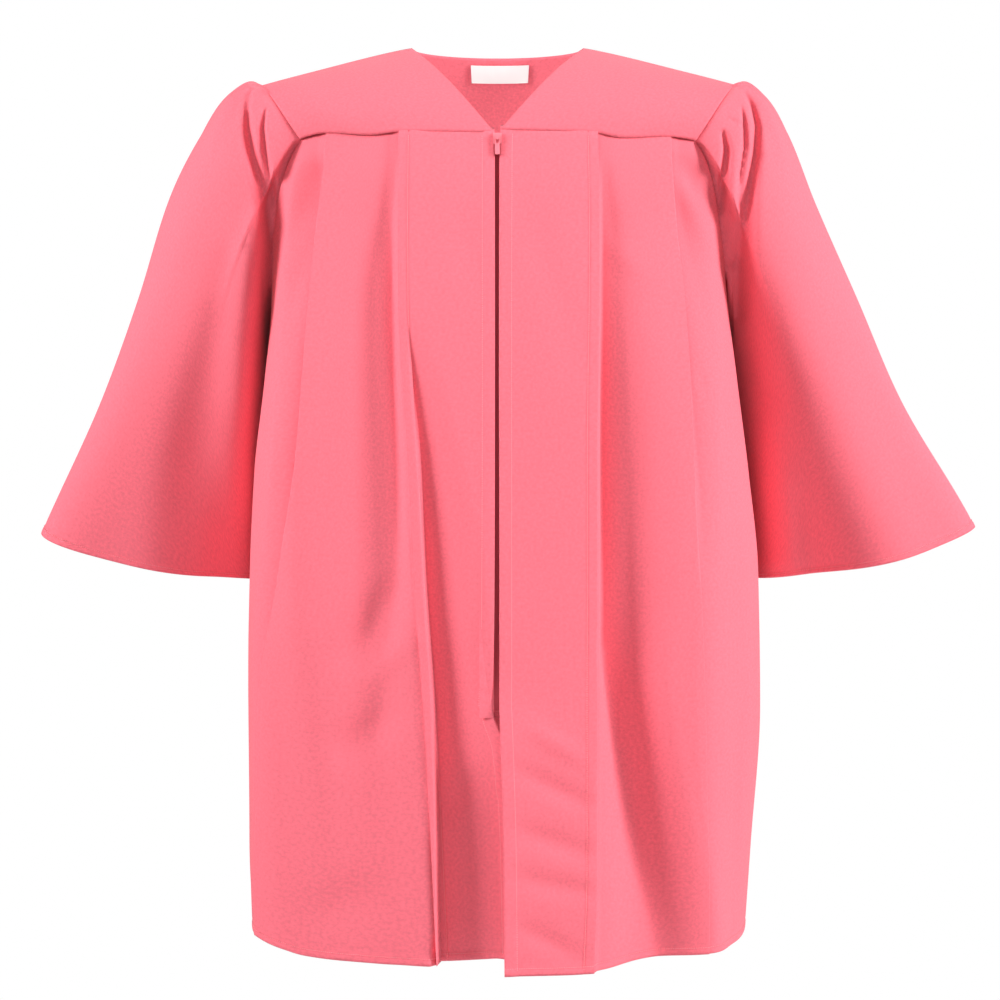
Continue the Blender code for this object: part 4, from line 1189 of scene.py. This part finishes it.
def panel_line(facing, side, levels, away, gown, from_fold=False):
    """Points and outward directions down a panel, this far from its opening edge or its first fold."""
    points, outs = [], []
    for z in levels:
        start = length_at_x(facing, side, z, edge_at(side, z))
        length = folds_at(facing, side, z)[0] - away if from_fold else start + away
        lengths = np.array([start, length, length + BESIDE_STITCH])
        layers = np.full(3, float(TOP_LAYER))
        row = panel_points(facing, side, z, lengths, layers, gown.layer_gap, gown.cloth_gauge / 2)
        points.append(row[1])
        across = row[2] - row[1]
        outs.append(np.array((across[1], -across[0], 0)) * SIDES[side])
    return points, outs


class GOWN_OT_stitching(GownPiece, bpy.types.Operator):
    """Sew the plackets, the first pleats, the hem and the cuffs"""

    bl_idname = "gown.sew"
    bl_label = "Stitching"

    def execute(self, context):
        gown = settings()
        thread, shader = node_shader("gown_thread", gown.thread_colour, 0.7)
        speckle = patterned(thread.node_tree, "ShaderNodeTexNoise", "Object", Scale=900.0)
        emboss(thread.node_tree, shader, speckle.outputs["Fac"], 0.2, 0.0001)
        levels = np.linspace(FRONT_TOP - STITCH_START, HEM_LEVEL + STITCH_STOP, STITCH_LEVELS)
        for side in SIDES:
            bm = bmesh.new()
            for line in (
                panel_line("front", side, levels, gown.placket_width, gown),
                panel_line("front", side, levels, RIDGE_INSET, gown, from_fold=True),
                hem_line("front", side, gown),
                hem_line("back", side, gown),
                cuff_line(side, gown),
            ):
                stitch_row(bm, *line, gown.stitch_pitch, gown.thread_width)
            self.seat(finished(f"stitches_{side}", bm, thread), "gown_cloth")
        return {"FINISHED"}


class GOWN_OT_zip(GownPiece, bpy.types.Operator):
    """Finish the zip's tapes, chain, stop, slider and pull tab, and the label"""

    bl_idname = "gown.finish_zip"
    bl_label = "Zip and label"

    def execute(self, context):
        gown = settings()
        nodes = frame["nodes"]
        tape = woven_cloth("zip_tape_weave", gown.cloth_colour, "Object")
        coil, shader = node_shader("zip_coil", gown.zip_colour, 0.45)
        teeth = patterned(
            coil.node_tree, "ShaderNodeTexWave", "Object",
            wave_type="BANDS", bands_direction="Z", Scale=380.0,
        )
        emboss(coil.node_tree, shader, teeth.outputs["Fac"], 0.9, 0.0006)
        enamel, _ = node_shader("slider_enamel", (0.86, 0.21, 0.26), 0.4, Coat_Weight=0.15)
        satin, _ = node_shader("label_satin", (0.90, 0.90, 0.89), 0.5, Sheen_Weight=0.2)
        for name, stuff in (
            ("zip_tape_left", tape), ("zip_tape_right", tape), ("zip_chain", coil),
            ("zip_bottom_stop", coil), ("zip_slider", enamel), ("zip_pull_tab", enamel),
            ("size_label", satin),
        ):
            nodes[name].data.materials.clear()
            nodes[name].data.materials.append(stuff)
        return {"FINISHED"}


class GOWN_OT_stage(bpy.types.Operator):
    """Set up the pale floor, the soft lights and the camera"""

    bl_idname = "gown.set_stage"
    bl_label = "Stage"

    def hang_lamp(self, name, place, aim, size, power, spread):
        """A soft lamp that the camera doesn't see."""
        data = bpy.data.lights.new(name, "AREA")
        data.shape = "RECTANGLE"
        data.size, data.size_y = size
        data.energy = power
        data.spread = spread
        lamp = bpy.data.objects.new(name, data)
        lamp.location = place
        lamp.rotation_euler = (Vector(aim) - Vector(place)).to_track_quat("-Z", "Y").to_euler()
        lamp.visible_camera = False
        bpy.context.scene.collection.objects.link(lamp)

    def execute(self, context):
        scene = context.scene
        bm = bmesh.new()
        bmesh.ops.create_grid(bm, x_segments=1, y_segments=1, size=FLOOR_HALF)
        bmesh.ops.translate(bm, verts=bm.verts, vec=(0, 0, FLOOR_LEVEL))
        pale, _ = node_shader("pale_floor", (0.93, 0.93, 0.93), 0.8)
        finished("floor", bm, pale)
        world = bpy.data.worlds.new("studio")
        world.use_nodes = True
        tree = world.node_tree
        back = tree.nodes["Background"]
        back.inputs["Color"].default_value = (1, 1, 1, 1)
        back.inputs["Strength"].default_value = SKY_STRENGTH
        seen = new_node(tree, "ShaderNodeBackground")
        seen.inputs["Color"].default_value = (1, 1, 1, 1)
        seen.inputs["Strength"].default_value = 1.0
        ray = new_node(tree, "ShaderNodeLightPath")
        mix = new_node(tree, "ShaderNodeMixShader")
        tree.links.new(ray.outputs["Is Camera Ray"], mix.inputs[0])
        tree.links.new(back.outputs[0], mix.inputs[1])
        tree.links.new(seen.outputs[0], mix.inputs[2])
        tree.links.new(mix.outputs[0], tree.nodes["World Output"].inputs["Surface"])
        scene.world = world
        for name, lamp in LAMPS.items():
            self.hang_lamp(name, *lamp)
        scene.view_settings.view_transform = "Standard"
        lens = bpy.data.cameras.new("camera")
        lens.sensor_width = SENSOR_WIDTH
        lens.lens = CAMERA_LENS
        camera = bpy.data.objects.new("camera", lens)
        camera.location = CAMERA_PLACE
        camera.rotation_euler = (np.pi / 2, 0, 0)
        scene.collection.objects.link(camera)
        scene.camera = camera
        return {"FINISHED"}


class GOWN_PT_panel(bpy.types.Panel):
    """Lists the gown's pieces in the sidebar"""

    bl_label = "Graduation gown"
    bl_idname = "GOWN_PT_panel"
    bl_space_type = "VIEW_3D"
    bl_region_type = "UI"
    bl_category = "Gown"

    def draw(self, context):
        for name in GownSettings.__annotations__:
            self.layout.prop(context.scene.gown_settings, name)
        for piece in OPERATORS:
            self.layout.operator(piece.bl_idname)


OPERATORS = (
    GOWN_OT_fronts,
    GOWN_OT_back,
    GOWN_OT_yokes,
    GOWN_OT_sleeves,
    GOWN_OT_stitching,
    GOWN_OT_zip,
    GOWN_OT_stage,
)
CLASSES = (GownSettings, *OPERATORS, GOWN_PT_panel)


def register():
    for made in CLASSES:
        bpy.utils.register_class(made)
    bpy.types.Scene.gown_settings = PointerProperty(type=GownSettings)


def unregister():
    del bpy.types.Scene.gown_settings
    for made in reversed(CLASSES):
        bpy.utils.unregister_class(made)


def main():
    register()
    bpy.ops.gown.make_fronts()
    bpy.ops.gown.make_back()
    bpy.ops.gown.make_yokes()
    bpy.ops.gown.make_sleeves()
    bpy.ops.gown.sew()
    bpy.ops.gown.finish_zip()
    bpy.ops.gown.set_stage()


if __name__ == "__main__":
    main()
